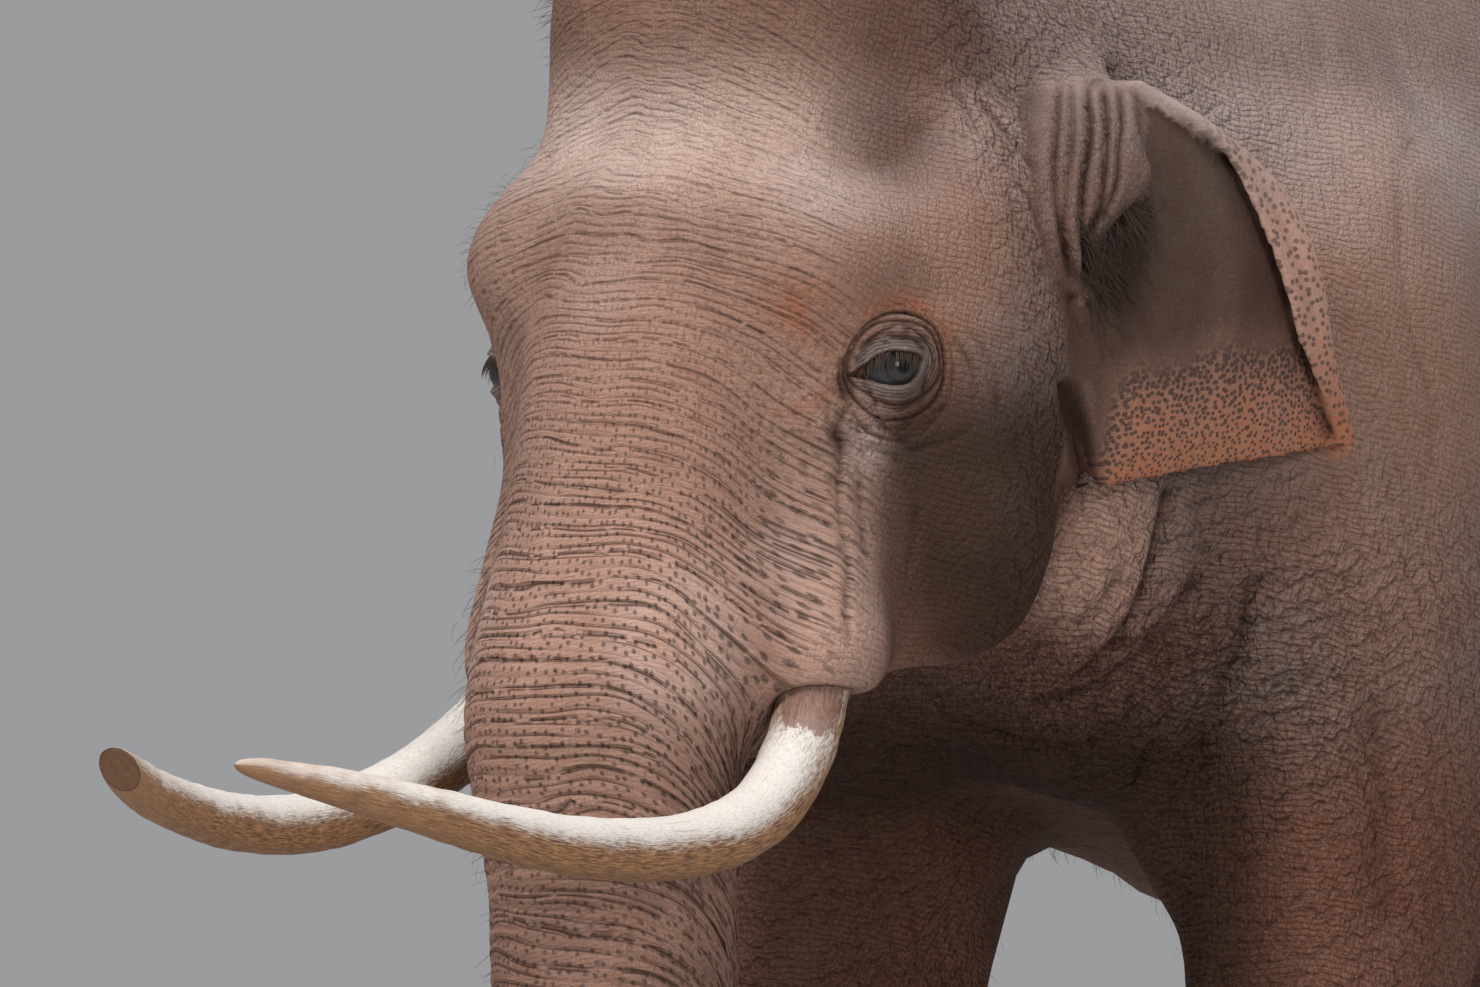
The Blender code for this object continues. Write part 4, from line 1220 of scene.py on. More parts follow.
class Finish:
    """A material on one Principled shader."""

    def __init__(self, name, **constants):
        self.material = bpy.data.materials.new(name)
        self.material.use_nodes = True
        self.tree = self.material.node_tree
        self.shader = next(n for n in self.tree.nodes if n.type == "BSDF_PRINCIPLED")
        for label, value in constants.items():
            self.shader.inputs[label.replace("_", " ")].default_value = value

    def add(self, kind, settings=(), inputs=(), out=0):
        """One node: its settings first, and then the values or links of its sockets."""
        node = self.tree.nodes.new("ShaderNode" + kind)
        for label, value in dict(settings).items():
            setattr(node, label, value)
        for label, value in dict(inputs).items():
            join(self.tree, node.inputs[label], value)
        return Wire(self.tree, node.outputs[out])

    def here(self):
        return self.add("TexCoord", out="Object")

    def parted(self, vector):
        parts = self.tree.nodes.new("ShaderNodeSeparateXYZ")
        join(self.tree, parts.inputs[0], vector)
        return [Wire(self.tree, socket) for socket in parts.outputs]

    def marks(self, name):
        """The three values of a mark on the mesh."""
        return self.parted(self.add("Attribute", {"attribute_name": name}, out="Vector"))

    def vector(self, x, y, z):
        return self.add("CombineXYZ", (), {0: x, 1: y, 2: z})

    def scaled(self, vector, sizes):
        return self.add("VectorMath", {"operation": "MULTIPLY"}, {0: vector, 1: sizes})

    def moved(self, vector, step):
        return self.add("VectorMath", {"operation": "ADD"}, {0: vector, 1: step})

    def noise(self, vector, scale, detail=2.0, rough=0.5, out="Fac"):
        inputs = {"Vector": vector, "Scale": scale, "Detail": detail, "Roughness": rough}
        return self.add("TexNoise", (), inputs, out)

    def cells(self, vector, scale, feature="F1", dimensions="3D", random=1.0, out="Distance"):
        settings = {"feature": feature, "voronoi_dimensions": dimensions}
        inputs = {"Vector": vector, "Scale": scale, "Randomness": random}
        return self.add("TexVoronoi", settings, inputs, out)

    def rise(self, value, low, high):
        """0 below low, 1 above high; low may be the larger."""
        inputs = {"Value": value, "From Min": low, "From Max": high}
        return self.add("MapRange", {"interpolation_type": "SMOOTHSTEP"}, inputs)

    def mixed(self, share, first, second):
        node = self.tree.nodes.new("ShaderNodeMix")
        node.data_type = "RGBA"
        node.clamp_factor = True
        for index, value in ((0, share), (6, first), (7, second)):
            join(self.tree, node.inputs[index], value)
        return Wire(self.tree, node.outputs[2])

    def layered(self, colour, *layers):
        """Paints laid one over the other, each with its share."""
        for share, over in layers:
            colour = self.mixed(share, colour, over)
        return colour

    def bump(self, height):
        """A bump whose height is in metres."""
        return self.add("Bump", (), {"Height": height, "Distance": 1.0, "Strength": 1.0})

    def feed(self, **values):
        for label, value in values.items():
            join(self.tree, self.shader.inputs[label.replace("_", " ")], value)
        return self.material


def paint(red, green, blue):
    return (red, green, blue, 1.0)


DUST_AND_HIGHLIGHT = paint(0.360, 0.296, 0.282)
HIDE_BROWN = paint(0.225, 0.125, 0.090)
HIDE_GREY = paint(0.190, 0.140, 0.122)
FACE = paint(0.272, 0.150, 0.105)
MUD_AND_SHADE = paint(0.135, 0.050, 0.028)
RED_EARTH_AND_SHADE = paint(0.072, 0.026, 0.017)
LID_GREY = paint(0.255, 0.215, 0.205)
PALE_AND_LIT = paint(0.620, 0.470, 0.395)
ORANGE = paint(0.300, 0.088, 0.032)
PINK = paint(0.385, 0.212, 0.156)
DARK = paint(0.038, 0.020, 0.014)
FRECKLE = paint(0.040, 0.026, 0.022)
CREASE_SHADE = paint(0.026, 0.011, 0.007)


class Ripples:
    """Nearly parallel creases, a spacing apart, that wander, fade and break."""

    def __init__(self, finish, measure, spacing, wander, depth, width=0.30):
        phase = measure / spacing + wander
        self.off = (phase.math("FRACT") - 0.5).math("ABSOLUTE") * 2.0
        self.finish = finish
        self.height = self.off.least(width) * (depth / width) - depth

    def line(self, width):
        return self.finish.rise(self.off, width, 0.0)


def hide_finish():
    """Dry hide: a net of creases, rings round the trunk, dark hair roots, freckles, dusty and muddy places,
    with painted shade in creases, hollows, the ear hole, the eye's corner, the cheek, jaw and chest, and
    painted light on ridges, upward faces and the fold under the ear.
    """
    f = Finish("hide", Roughness=0.72, IOR=1.42, Specular_IOR_Level=0.13)
    here = f.here()
    lie = f.add("Attribute", {"attribute_name": "lie"}, out="Vector")
    across, along, gathered = f.marks("lie")
    # This mark holds painted shade in hollows, the ridges (crown) for a painted highlight, and paler hide
    # with painted light on the fold under the ear.
    hollow, crown, pale_and_lit = f.marks("hollow")
    ringed, ear, slack = f.marks("kind")
    pink, dark, mud_and_shade = f.marks("tint")
    dust_and_light, face, orange = f.marks("wear")
    lid, edge, red = f.marks("lids")
    flat = {"noise_dimensions": "2D"}
    # The net over the open hide: small plates parted by creases, and larger folds where it hangs slack.
    stray = f.noise(here, 30.0, 2.0, 0.62, out="Color")
    strays = f.parted(stray)
    inputs = {0: stray, 1: (0.0045, 0.0045, 0.0045), 2: here}
    swirl = f.add("VectorMath", {"operation": "MULTIPLY_ADD"}, inputs)
    _, y, z = f.parted(here)
    calm, face_y, face_z = f.marks("facing")
    broken = strays[1]
    plates = f.cells(f.scaled(swirl, (170.0, 150.0, 118.0)), 1.0, "DISTANCE_TO_EDGE")
    blocks = f.cells(f.scaled(swirl, (70.0, 62.0, 50.0)), 1.0, "DISTANCE_TO_EDGE", random=0.85)
    torn = f.rise(broken, 0.40, 0.52)
    whole = f.rise(broken, 0.60, 0.44)
    large = (
        (Ripples(f, y + z * 0.55, 0.0330, strays[2] * 1.9, 0.0050, 0.50), face_y * torn),
        (Ripples(f, z - y * 0.45, 0.0290, strays[0] * 1.9, 0.0050, 0.50), face_z * whole),
    )
    # Creases across the face and trunk: a regular set, deeper ones that cross it, and faint upright ones.
    sway, swing = (
        f.add("TexNoise", flat, {"Vector": f.scaled(lie, sizes), "Scale": 1.0, "Detail": 1.0})
        for sizes in ((4.0, 6.0, 1.0), (9.0, 30.0, 1.0))
    )
    ring = Ripples(f, gathered, 0.0160, sway * 2.4 + swing * 0.9, 0.0038, 0.55)
    deep = Ripples(f, gathered, 0.0370, sway * 1.3 + swing * 0.55, 0.0058, 0.30)
    thin = Ripples(f, gathered + across * 0.35, 0.0062, strays[1] * 1.6, 0.0005)
    fibre = Ripples(f, across, 0.0078, sway * 6.0, 0.0004)
    lid_lines = Ripples(f, edge, 0.0046, strays[0] * 1.7 + strays[2] * 0.8, 0.0011, 0.7)
    grain = f.noise(here, 260.0, 2.0, 0.6)
    patchy = f.noise(here, 7.0, 3.0, 0.55)
    broad = f.noise(here, 2.3, 1.0, 0.5)
    woven = Ripples(f, z + y * 0.24, 0.0088, patchy * 4.5 + strays[0] * 1.3, 0.0013, 0.60)
    crossed = Ripples(f, y - z * 0.34, 0.0128, patchy * 3.0 + strays[2] * 1.5, 0.0013, 0.50)
    fade = f.rise(swing, 0.36, 0.56)
    # Hair roots in rows on the face and trunk, and freckles where the hide has lost its colour.
    roots = f.cells(f.scaled(lie, (82.0, 66.0, 1.0)), 1.0, "F1", "2D", 0.62)
    root = f.rise(roots + (swing - 0.5) * 0.10, 0.27, 0.13) * face
    root = root * (f.rise(along, 0.45, 0.95) * 0.75 + 0.25)
    spots = f.cells(f.moved(lie, (0.31, 0.17, 0.0)), 104.0, "F1", "2D", 0.90)
    freckle = f.rise(spots - (1 - pink) * 0.26, 0.34, 0.20) * f.rise(pink, 0.04, 0.30)
    freckle = freckle * ear * (1 - dust_and_light * 0.9)
    rings = ring.height * (0.30 + fade * 0.70) + deep.height * torn + fibre.height + thin.height
    net = plates.least(0.20) * (whole * 0.5 + 0.6) * 0.0042
    net = net + blocks.least(0.18) * (0.0015 + slack * 0.016)
    net = net + sum(ripple.height * share for ripple, share in large) * (0.12 + slack * 2.0)
    loose = 1 - calm * 0.8
    net = net + (woven.height * (0.7 + slack * 1.2) + crossed.height * (0.5 + slack * 1.3)) * loose
    height = rings * ringed + net * (1 - ringed * 0.80) * (1 - ear * 0.80)
    height = height * (1 - lid * 0.7) + lid_lines.height * lid + grain * 0.0009
    # The creases' lines, painted dark as shade.
    ring_shade = (ring.line(0.20) * (0.25 + fade * 0.60)).most(deep.line(0.12) * torn * 0.90)
    ring_shade = ring_shade.most(thin.line(0.30) * whole * 0.22)
    net_shade = f.rise(plates, 0.13, 0.0) * (whole * 0.5 + 0.25) * 0.42
    net_shade = net_shade.most(f.rise(blocks, 0.085, 0.0) * (whole * 0.60 + torn * 0.35) * slack)
    fold_shade = (large[0][0].line(0.32) * large[0][1]).most(large[1][0].line(0.32) * large[1][1])
    net_shade = net_shade.most(fold_shade * (0.08 + slack * 0.8))
    net_shade = net_shade.most(woven.line(0.42) * torn * loose * (0.45 + slack * 0.35))
    net_shade = net_shade.most(crossed.line(0.30) * whole * loose * (0.40 + slack * 0.35))
    line = ring_shade * ringed + net_shade * (1 - ringed * 0.9) * (1 - ear * 0.80)
    line = (line * (1 - lid * 0.7)).most(lid_lines.line(0.42) * lid * (0.35 + whole * 0.5))

    colour = f.mixed(f.rise(broad, 0.36, 0.64), HIDE_BROWN, HIDE_GREY)
    colour = f.layered(
        colour,
        # Muddy colour, partly painted shade on the jaw.
        (mud_and_shade * (0.50 + patchy * 0.5), MUD_AND_SHADE),
        (face * 0.70, FACE),
        (f.rise(strays[1], 0.46, 0.66) * (1 - dust_and_light) * 0.35, MUD_AND_SHADE),
        # Dusty colour, and painted light on upward faces and the fold under the ear.
        (dust_and_light * (0.20 + patchy * 0.75), DUST_AND_HIGHLIGHT),
        (orange * f.rise(patchy, 0.30, 0.55), ORANGE),
        # Paler patches, and painted light on the fold under the ear.
        ((pale_and_lit * (0.55 + patchy * 0.9)).kept(), PALE_AND_LIT),
        (lid * f.rise(edge, 0.026, 0.012) * (0.35 + face_z * patchy * 0.9), LID_GREY),
        # Red earth, and painted shade on the chest.
        (red * (0.65 + patchy * 0.6), RED_EARTH_AND_SHADE),
        # Dark hide, and painted shade in the ear hole, the furrow, the eye's corner, the cheek and the jaw.
        (dark * (0.75 + patchy * 0.35), DARK),
        ((pink * (0.35 + patchy * 0.9 - ear * 0.28)).kept(), PINK),
        (orange * pink * 0.8, ORANGE),
        ((freckle * 0.85).kept(), FRECKLE),
        ((root * 0.72).kept(), FRECKLE),
        (f.rise(grain, 0.42, 0.70) * (1 - dark * 0.9) * 0.22, DUST_AND_HIGHLIGHT),
        # Painted shade in the creases' lines and in hollows.
        ((line * 0.84).kept(), CREASE_SHADE),
        ((hollow * (0.92 - ringed * 0.30)).kept(), CREASE_SHADE),
        # A painted highlight on the ridges.
        (crown * 0.25, DUST_AND_HIGHLIGHT),
    )
    rough = 0.60 + grain * 0.28
    return f.feed(Base_Color=colour, Roughness=rough, Normal=f.bump(height))


def eye_finish():
    """Dark brown under a wet, clear surface."""
    wet = {"Coat_Weight": 0.38, "Coat_Roughness": 0.09}
    f = Finish("eye", Roughness=0.35, IOR=1.34, Specular_IOR_Level=0.15, **wet)
    turn, round_it, _ = f.marks("look")
    here = f.here()
    rays = f.noise(f.vector(round_it * 9.0, turn * 4.0, 0.0), 3.0, 3.0, 0.6)
    iris = f.mixed(rays, paint(0.012, 0.009, 0.009), paint(0.040, 0.036, 0.038))
    white = f.mixed(f.noise(here, 120.0, 3.0), paint(0.040, 0.040, 0.046), paint(0.014, 0.012, 0.014))
    colour = f.mixed(f.rise(turn, 0.50, 0.56), iris, white)
    colour = f.mixed(f.rise(turn, 0.24, 0.20), colour, paint(0.002, 0.002, 0.002))
    rim = f.rise(turn, 0.44, 0.50) * f.rise(turn, 0.60, 0.52)
    colour = f.mixed(rim * 0.7, colour, paint(0.010, 0.006, 0.006))
    return f.feed(Base_Color=colour, Normal=f.bump(f.noise(here, 180.0, 2.0) * 0.0001))


def ivory_finish():
    """White ivory, brown below and at the tip, stained by the lip and finely cracked along its length."""
    f = Finish("ivory", Roughness=0.45, IOR=1.48, Specular_IOR_Level=0.20)
    round_it, along, low = f.marks("grain")
    tip, chip, lip = f.marks("use")
    here = f.here()
    streaks = f.noise(f.vector(round_it * 190.0, along * 22.0, 0.0), 2.2, 4.0, 0.70)
    blotch = f.noise(here, 13.0, 4.0, 0.62)
    fine = f.noise(f.vector(round_it * 300.0, along * 60.0, 0.0), 2.2, 3.0, 0.65)
    split = f.cells(f.vector(round_it * 24.0, along * 2.4, 0.0), 1.0, "DISTANCE_TO_EDGE", "2D", 1.0)
    crack = f.rise(split, 0.012, 0.0) * f.rise(blotch, 0.48, 0.62)
    white = f.mixed(f.rise(fine, 0.40, 0.75), paint(0.570, 0.545, 0.520), paint(0.440, 0.375, 0.300))
    worn = low + (streaks - 0.5) * 0.50 + (blotch - 0.5) * 0.45 + (fine - 0.5) * 0.30
    below = f.rise(worn, -0.12, 0.20)
    tan = f.mixed(f.rise(streaks, 0.40, 0.60), paint(0.335, 0.160, 0.058), paint(0.095, 0.036, 0.012))
    tan = f.mixed(f.rise(fine, 0.50, 0.66) * 0.6, tan, paint(0.050, 0.018, 0.006))
    tan = f.mixed(f.rise(low, 0.40, 0.62) * 0.35, tan, paint(0.110, 0.045, 0.014))
    colour = f.mixed(below * 0.94, white, tan)
    end = f.rise(tip + (blotch - 0.5) * 0.5 + (streaks - 0.5) * 0.5, 0.72, 1.05)
    colour = f.mixed(end * 0.60, colour, paint(0.270, 0.150, 0.085))
    spatter = f.noise(here, 60.0, 4.0, 0.66)
    stain = f.rise(lip + (spatter - 0.5) * 1.9 + (blotch - 0.5) * 1.2 + (fine - 0.5) * 0.6, 0.40, 0.62)
    colour = f.mixed(stain * 0.80, colour, paint(0.150, 0.068, 0.046))
    colour = f.mixed(chip * (0.6 + streaks * 0.4), colour, paint(0.120, 0.060, 0.034))
    edge = f.rise(chip, 0.05, 0.45) * f.rise(chip, 0.98, 0.60)
    colour = f.mixed(edge * 0.8, colour, paint(0.06, 0.03, 0.02))
    colour = f.mixed((crack * 0.65).kept(), colour, paint(0.12, 0.065, 0.035))
    height = fine * 0.00025 + streaks * 0.0006 - crack * 0.0008 + blotch * 0.0010
    rough = 0.36 + streaks * 0.14 + below * 0.24
    return f.feed(Base_Color=colour, Roughness=rough, Normal=f.bump(height))


def nail_finish():
    """Dull horn, ridged up and down, paler along its ridges."""
    f = Finish("toenail", Roughness=0.62, IOR=1.50)
    here = f.here()
    ridges = f.noise(f.scaled(here, (1.0, 1.0, 0.12)), 190.0, 3.0, 0.6)
    stain = f.noise(here, 28.0, 3.0, 0.6)
    colour = f.mixed(stain, paint(0.175, 0.130, 0.098), paint(0.095, 0.066, 0.048))
    colour = f.mixed(ridges * 0.5, colour, paint(0.230, 0.180, 0.140))
    height = ridges * 0.0012 + stain * 0.001
    return f.feed(Base_Color=colour, Roughness=0.5 + ridges * 0.25, Normal=f.bump(height))


def floor_finish():
    f = Finish("floor", Roughness=0.9)
    tone = f.noise(f.here(), 1.3, 3.0)
    return f.feed(Base_Color=f.mixed(tone, paint(0.51, 0.505, 0.49), paint(0.56, 0.555, 0.54)))


# ---------------------------------------------------------------- eyes, ivory and toenails


def eyeball(side, finish):
    """A ball with a clear bulge in front, looking along the gaze."""
    gaze, centre = eye_aim(side)
    shape = bmesh.new()
    bmesh.ops.create_uvsphere(shape, u_segments=64, v_segments=48, radius=1.0)
    turn = gaze.to_track_quat("Z", "Y").to_matrix()
    look = []
    for vert in shape.verts:
        away = math.acos(max(-1.0, min(1.0, vert.co.z)))
        look.append((away, math.atan2(vert.co.y, vert.co.x)))
        bulge = 0.0022 * math.exp(-((away / 0.42) ** 4))
        vert.co = turn @ (vert.co * (EYEBALL_RADIUS + bulge)) + centre
    mesh = mesh_of(shape, "eyeball_left" if side > 0 else "eyeball_right")
    mark(mesh, "look", [away for away, _ in look], [angle for _, angle in look], 0.0)
    coated(mesh, finish)
    thing = new_thing(mesh.name, mesh)
    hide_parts("eye_left" if side > 0 else "eye_right")
    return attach(thing, "root")


# The tusks' own lines from inside the lip to the tip.
LEFT_TUSK = (
    (0.215, -0.010, 1.640),
    (0.226, -0.020, 1.560),
    (0.236, -0.056, 1.490),
    (0.252, -0.115, 1.412),
    (0.268, -0.220, 1.345),
    (0.276, -0.370, 1.312),
    (0.272, -0.540, 1.312),
    (0.258, -0.690, 1.332),
    (0.232, -0.830, 1.364),
    (0.195, -0.960, 1.397),
    (0.133, -1.092, 1.429),
)
RIGHT_TUSK = (
    (0.215, 0.010, 1.640),
    (0.226, -0.020, 1.560),
    (0.236, -0.056, 1.490),
    (0.250, -0.120, 1.430),
    (0.264, -0.230, 1.372),
    (0.270, -0.360, 1.338),
    (0.266, -0.490, 1.326),
    (0.252, -0.640, 1.340),
    (0.226, -0.790, 1.374),
    (0.194, -0.893, 1.407),
    (0.171, -0.945, 1.425),
)


def remade(name, node, voxel, passes, triangles):
    """A smooth, finer copy of a CAD node."""
    shape = bmesh.new()
    solid_copy([node], shape)
    thing = fused(new_thing(name, mesh_of(shape, name)), voxel)
    smoothed(thing, passes, np.ones(len(thing.data.vertices)))
    thing.data.calc_loop_triangles()
    if len(thing.data.loop_triangles) > triangles:
        fewer = thing.modifiers.new("fewer", "DECIMATE")
        fewer.ratio = triangles / len(thing.data.loop_triangles)
        evaluated(thing)
    return thing


def ivory(side, finish):
    """A tusk with its growth swellings, worn tip, and the right one's chipped end."""
    node = "tusk_left" if side > 0 else "tusk_right"
    thing = remade("ivory_left" if side > 0 else "ivory_right", node, 0.0035, 70, 60000)
    mesh = thing.data
    points = places(mesh)
    p = from_face(points)
    line = refined(LEFT_TUSK if side > 0 else RIGHT_TUSK, 120)
    far, share = near_line(p, line)
    lengths = lengths_along(line)
    along = share * lengths[-1]
    away = p - np.stack([np.interp(along, lengths, line[:, axis]) for axis in range(3)], axis=1)
    round_it = np.arctan2(away[:, 2], away[:, 0])
    # A true round: each ring of points takes the mean radius of its place along the tusk.
    bins = np.clip(np.round(share * 60).astype(int), 0, 60)
    mean = np.bincount(bins, far, 61) / np.maximum(np.bincount(bins, minlength=61), 1)
    blur = (0.05, 0.12, 0.2, 0.26, 0.2, 0.12, 0.05)
    mean = np.convolve(np.pad(mean, 3, mode="edge"), blur, mode="valid")
    wanted = np.interp(share, np.linspace(0.0, 1.0, 61), mean)
    pull = ramp(share, 0.975, 0.93) * ramp(share, 0.02, 0.06)
    fix = away * ((wanted / np.maximum(far, 1e-5) - 1.0) * pull)[:, None]
    fix[:, 0] *= side
    points += fix
    normals = directions(mesh)
    swell = 0.0008 * LUMPS.at(np.stack((share * 60, round_it * 0.4, share * 0), axis=1))
    swell += 0.0011 * LUMPS.at(points * 16.0)
    points += normals * swell[:, None]
    chip = np.zeros(len(p))
    if side < 0:
        # The tip was broken and has worn to a slanting face with a lip behind it.
        face = Vector((0.700, -0.515, -0.493)).normalized()
        tip = np.array(RIGHT_TUSK[-1]) * (-1.0, 1.0, 1.0) + (0.0, FACE_PLANE, 0.0)
        over = (points - tip) @ np.array(face) + 0.019
        reach = ramp(share, 0.86, 0.93)
        cut = np.clip(over, 0.0, None) * reach
        points -= cut[:, None] * np.array(face)
        chip = ramp(cut, 0.0, 0.002)
    put_places(mesh, points)
    radius = 0.046 * (1.0 - 0.5 * share)
    low = -away[:, 2] / np.maximum(np.linalg.norm(away, axis=1), 1e-5)
    low = low - 0.4 * away[:, 1] / radius * (share < 0.25)
    mark(mesh, "grain", round_it * 0.045, share, np.clip(low * 0.5 + 0.5, 0.0, 1.0) - 0.35)
    lip = normals @ np.array((side * QUARTER_SIDE, -QUARTER_FRONT, 0.0))
    lip = ramp(share, 0.235, 0.165) * ramp(lip, 0.25, 0.80)
    mark(mesh, "use", share, chip, lip)
    coated(mesh, finish)
    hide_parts(node)
    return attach(thing, "root")


def toenail(node, finish):
    thing = remade(node.replace("nail", "toenail"), node, 0.0030, 12, 3000)
    mesh = thing.data
    points = places(mesh)
    ridge = LUMPS.at(points * (170, 170, 12)) * 0.0007
    points += directions(mesh) * ridge[:, None]
    points[:, 2] = np.maximum(points[:, 2], 0.001)
    put_places(mesh, points)
    coated(mesh, finish)
    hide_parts(node)
    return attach(thing, "root")


# ---------------------------------------------------------------- hair


def rod(shape, patch, path, radii, column, sides=3):
    """Adds a closed tapering rod along a path, with each point's place on the tuft's patch."""
    path = np.array(path, float)
    steps = np.gradient(path, axis=0)
    steps /= np.linalg.norm(steps, axis=1)[:, None]
    across = np.cross(steps, (0.31, 0.95, 0.05))
    across /= np.linalg.norm(across, axis=1)[:, None]
    over = np.cross(steps, across)
    rings = []
    for index, (centre, radius) in enumerate(zip(path, radii)):
        ring = []
        for side in range(sides):
            angle = 2 * math.pi * side / sides
            place = centre + radius * (math.cos(angle) * across[index] + math.sin(angle) * over[index])
            vert = shape.verts.new(place)
            vert[patch] = (column + 0.12 * side / sides, index / (len(path) - 1) - 0.5, 0.0)
            ring.append(vert)
        rings.append(ring)
    for ring, following in zip(rings, rings[1:]):
        for side in range(sides):
            other = (side + 1) % sides
            shape.faces.new((ring[side], ring[other], following[other], following[side]))
    shape.faces.new(rings[0][::-1])
    shape.faces.new(rings[-1])


def tuft(name, seed, hairs, stoutness, bend, parting):
    """A few hairs of about unit length from one root, growing up +Z and falling over towards +X."""
    chance = np.random.default_rng(seed)
    shape = bmesh.new()
    patch = shape.verts.layers.float_vector.new("patch")
    for hair in range(hairs):
        length = chance.uniform(0.65, 1.0)
        turn = chance.uniform(-1.3, 1.3)
        lean = bend * chance.uniform(0.6, 1.3)
        start = chance.normal(0.0, parting, 2)
        path = []
        for share in (-0.04, 0.25, 0.5, 0.76, 1.0):
            over = lean * max(share, 0.0) ** 1.7 * length
            across = (start[0] + over * math.cos(turn), start[1] + over * math.sin(turn))
            path.append((*across, share * length))
        radii = [stoutness * value for value in (1.0, 0.9, 0.75, 0.52, 0.16)]
        rod(shape, patch, path, radii, (hair + 0.5) / hairs - 0.5)
    bmesh.ops.recalc_face_normals(shape, faces=shape.faces)
    mesh = mesh_of(shape, name)
    mesh.shade_smooth()
    return bpy.data.objects.new(name, mesh)


def coat_tree():
    """Geometry nodes that set a tuft on each root, turned and sized by it, as one real mesh."""
    tree = bpy.data.node_groups.new("coat", "GeometryNodeTree")
    sockets = {}
    for label, kind in (
        ("Roots", "NodeSocketGeometry"),
        ("First Tuft", "NodeSocketObject"),
        ("Second Tuft", "NodeSocketObject"),
        ("Hair", "NodeSocketMaterial"),
        ("Seed", "NodeSocketInt"),
    ):
        sockets[label] = tree.interface.new_socket(label, in_out="INPUT", socket_type=kind).identifier
    tree.interface.new_socket("Coat", in_out="OUTPUT", socket_type="NodeSocketGeometry")

    def node(kind, values=(), **settings):
        made = tree.nodes.new(kind)
        for label, value in settings.items():
            setattr(made, label, value)
        for label, value in dict(values).items():
            if isinstance(value, bpy.types.NodeSocket):
                tree.links.new(value, made.inputs[label])
            else:
                made.inputs[label].default_value = value
        return made

    def named(name, kind):
        made = node("GeometryNodeInputNamedAttribute", {"Name": name}, data_type=kind)
        return made.outputs["Attribute"]

    given = node("NodeGroupInput").outputs
    first = node("GeometryNodeObjectInfo", {"Object": given["First Tuft"], "As Instance": True})
    second = node("GeometryNodeObjectInfo", {"Object": given["Second Tuft"], "As Instance": True})
    tufts = node("GeometryNodeJoinGeometry")
    tree.links.new(first.outputs["Geometry"], tufts.inputs[0])
    tree.links.new(second.outputs["Geometry"], tufts.inputs[0])
    points = node("GeometryNodeMeshToPoints", {"Mesh": given["Roots"]})
    pick = node("FunctionNodeRandomValue", {"Seed": given["Seed"]}, data_type="INT")
    pick.inputs[4].default_value = 0
    pick.inputs[5].default_value = 1
    spread = node(
        "GeometryNodeInstanceOnPoints",
        {
            "Points": points.outputs[0],
            "Instance": tufts.outputs[0],
            "Pick Instance": True,
            "Instance Index": pick.outputs[2],
            "Rotation": named("turn", "FLOAT_VECTOR"),
            "Scale": named("size", "FLOAT_VECTOR"),
        },
    )
    real = node("GeometryNodeRealizeInstances", {"Geometry": spread.outputs[0]})
    small = node("ShaderNodeVectorMath", {1: (0.003, 0.003, 0.0)}, operation="MULTIPLY")
    tree.links.new(named("patch", "FLOAT_VECTOR"), small.inputs[0])
    place = node("ShaderNodeVectorMath", {1: small.outputs[0]}, operation="ADD")
    tree.links.new(named("root", "FLOAT_VECTOR"), place.inputs[0])
    stored = node(
        "GeometryNodeStoreNamedAttribute",
        {"Geometry": real.outputs[0], "Name": "OFBake"},
        data_type="FLOAT2",
        domain="CORNER",
    )
    tree.links.new(place.outputs[0], next(i for i in stored.inputs if i.name == "Value" and i.enabled))
    painted = node("GeometryNodeSetMaterial", {"Geometry": stored.outputs[0], "Material": given["Hair"]})
    last = node("NodeGroupOutput")
    tree.links.new(painted.outputs[0], last.inputs[0])
    return tree, sockets


def coat(name, tree, sockets, tufts, finish, roots):
    """A piece of coat from its roots: places, ways to grow, ways to fall, lengths and unwrap."""
    place, grow, fall, length, unwrap = roots
    grow = grow / np.linalg.norm(grow, axis=1)[:, None]
    fall = fall - grow * (fall * grow).sum(1)[:, None]
    fall = fall / np.maximum(np.linalg.norm(fall, axis=1), 1e-6)[:, None]
    side = np.cross(grow, fall)
    turns = [Matrix((f, s, g)).transposed().to_euler() for f, s, g in zip(fall, side, grow)]
    mesh = bpy.data.meshes.new(name)
    mesh.from_pydata(place.tolist(), [], [])
    mark(mesh, "turn", *np.array(turns).T)
    mark(mesh, "size", length, length, length)
    mark(mesh, "root", unwrap[:, 0], unwrap[:, 1], 0.0)
    thing = new_thing(name, mesh)
    grown = thing.modifiers.new("coat", "NODES")
    grown.node_group = tree
    grown[sockets["First Tuft"]] = tufts[0]
    grown[sockets["Second Tuft"]] = tufts[1]
    grown[sockets["Hair"]] = finish
    grown[sockets["Seed"]] = 5
    evaluated(thing)
    thing.data.shade_smooth()
    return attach(thing, "root")


def unwrapped(thing):
    """Lays the hide's own shape out flat, for the places of the hairs' roots."""
    bpy.ops.object.select_all(action="DESELECT")
    thing.select_set(True)
    bpy.context.view_layer.objects.active = thing
    bpy.ops.object.mode_set(mode="EDIT")
    bpy.ops.mesh.select_all(action="SELECT")
    bpy.ops.uv.smart_project(angle_limit=1.15, island_margin=0.002)
    bpy.ops.object.mode_set(mode="OBJECT")


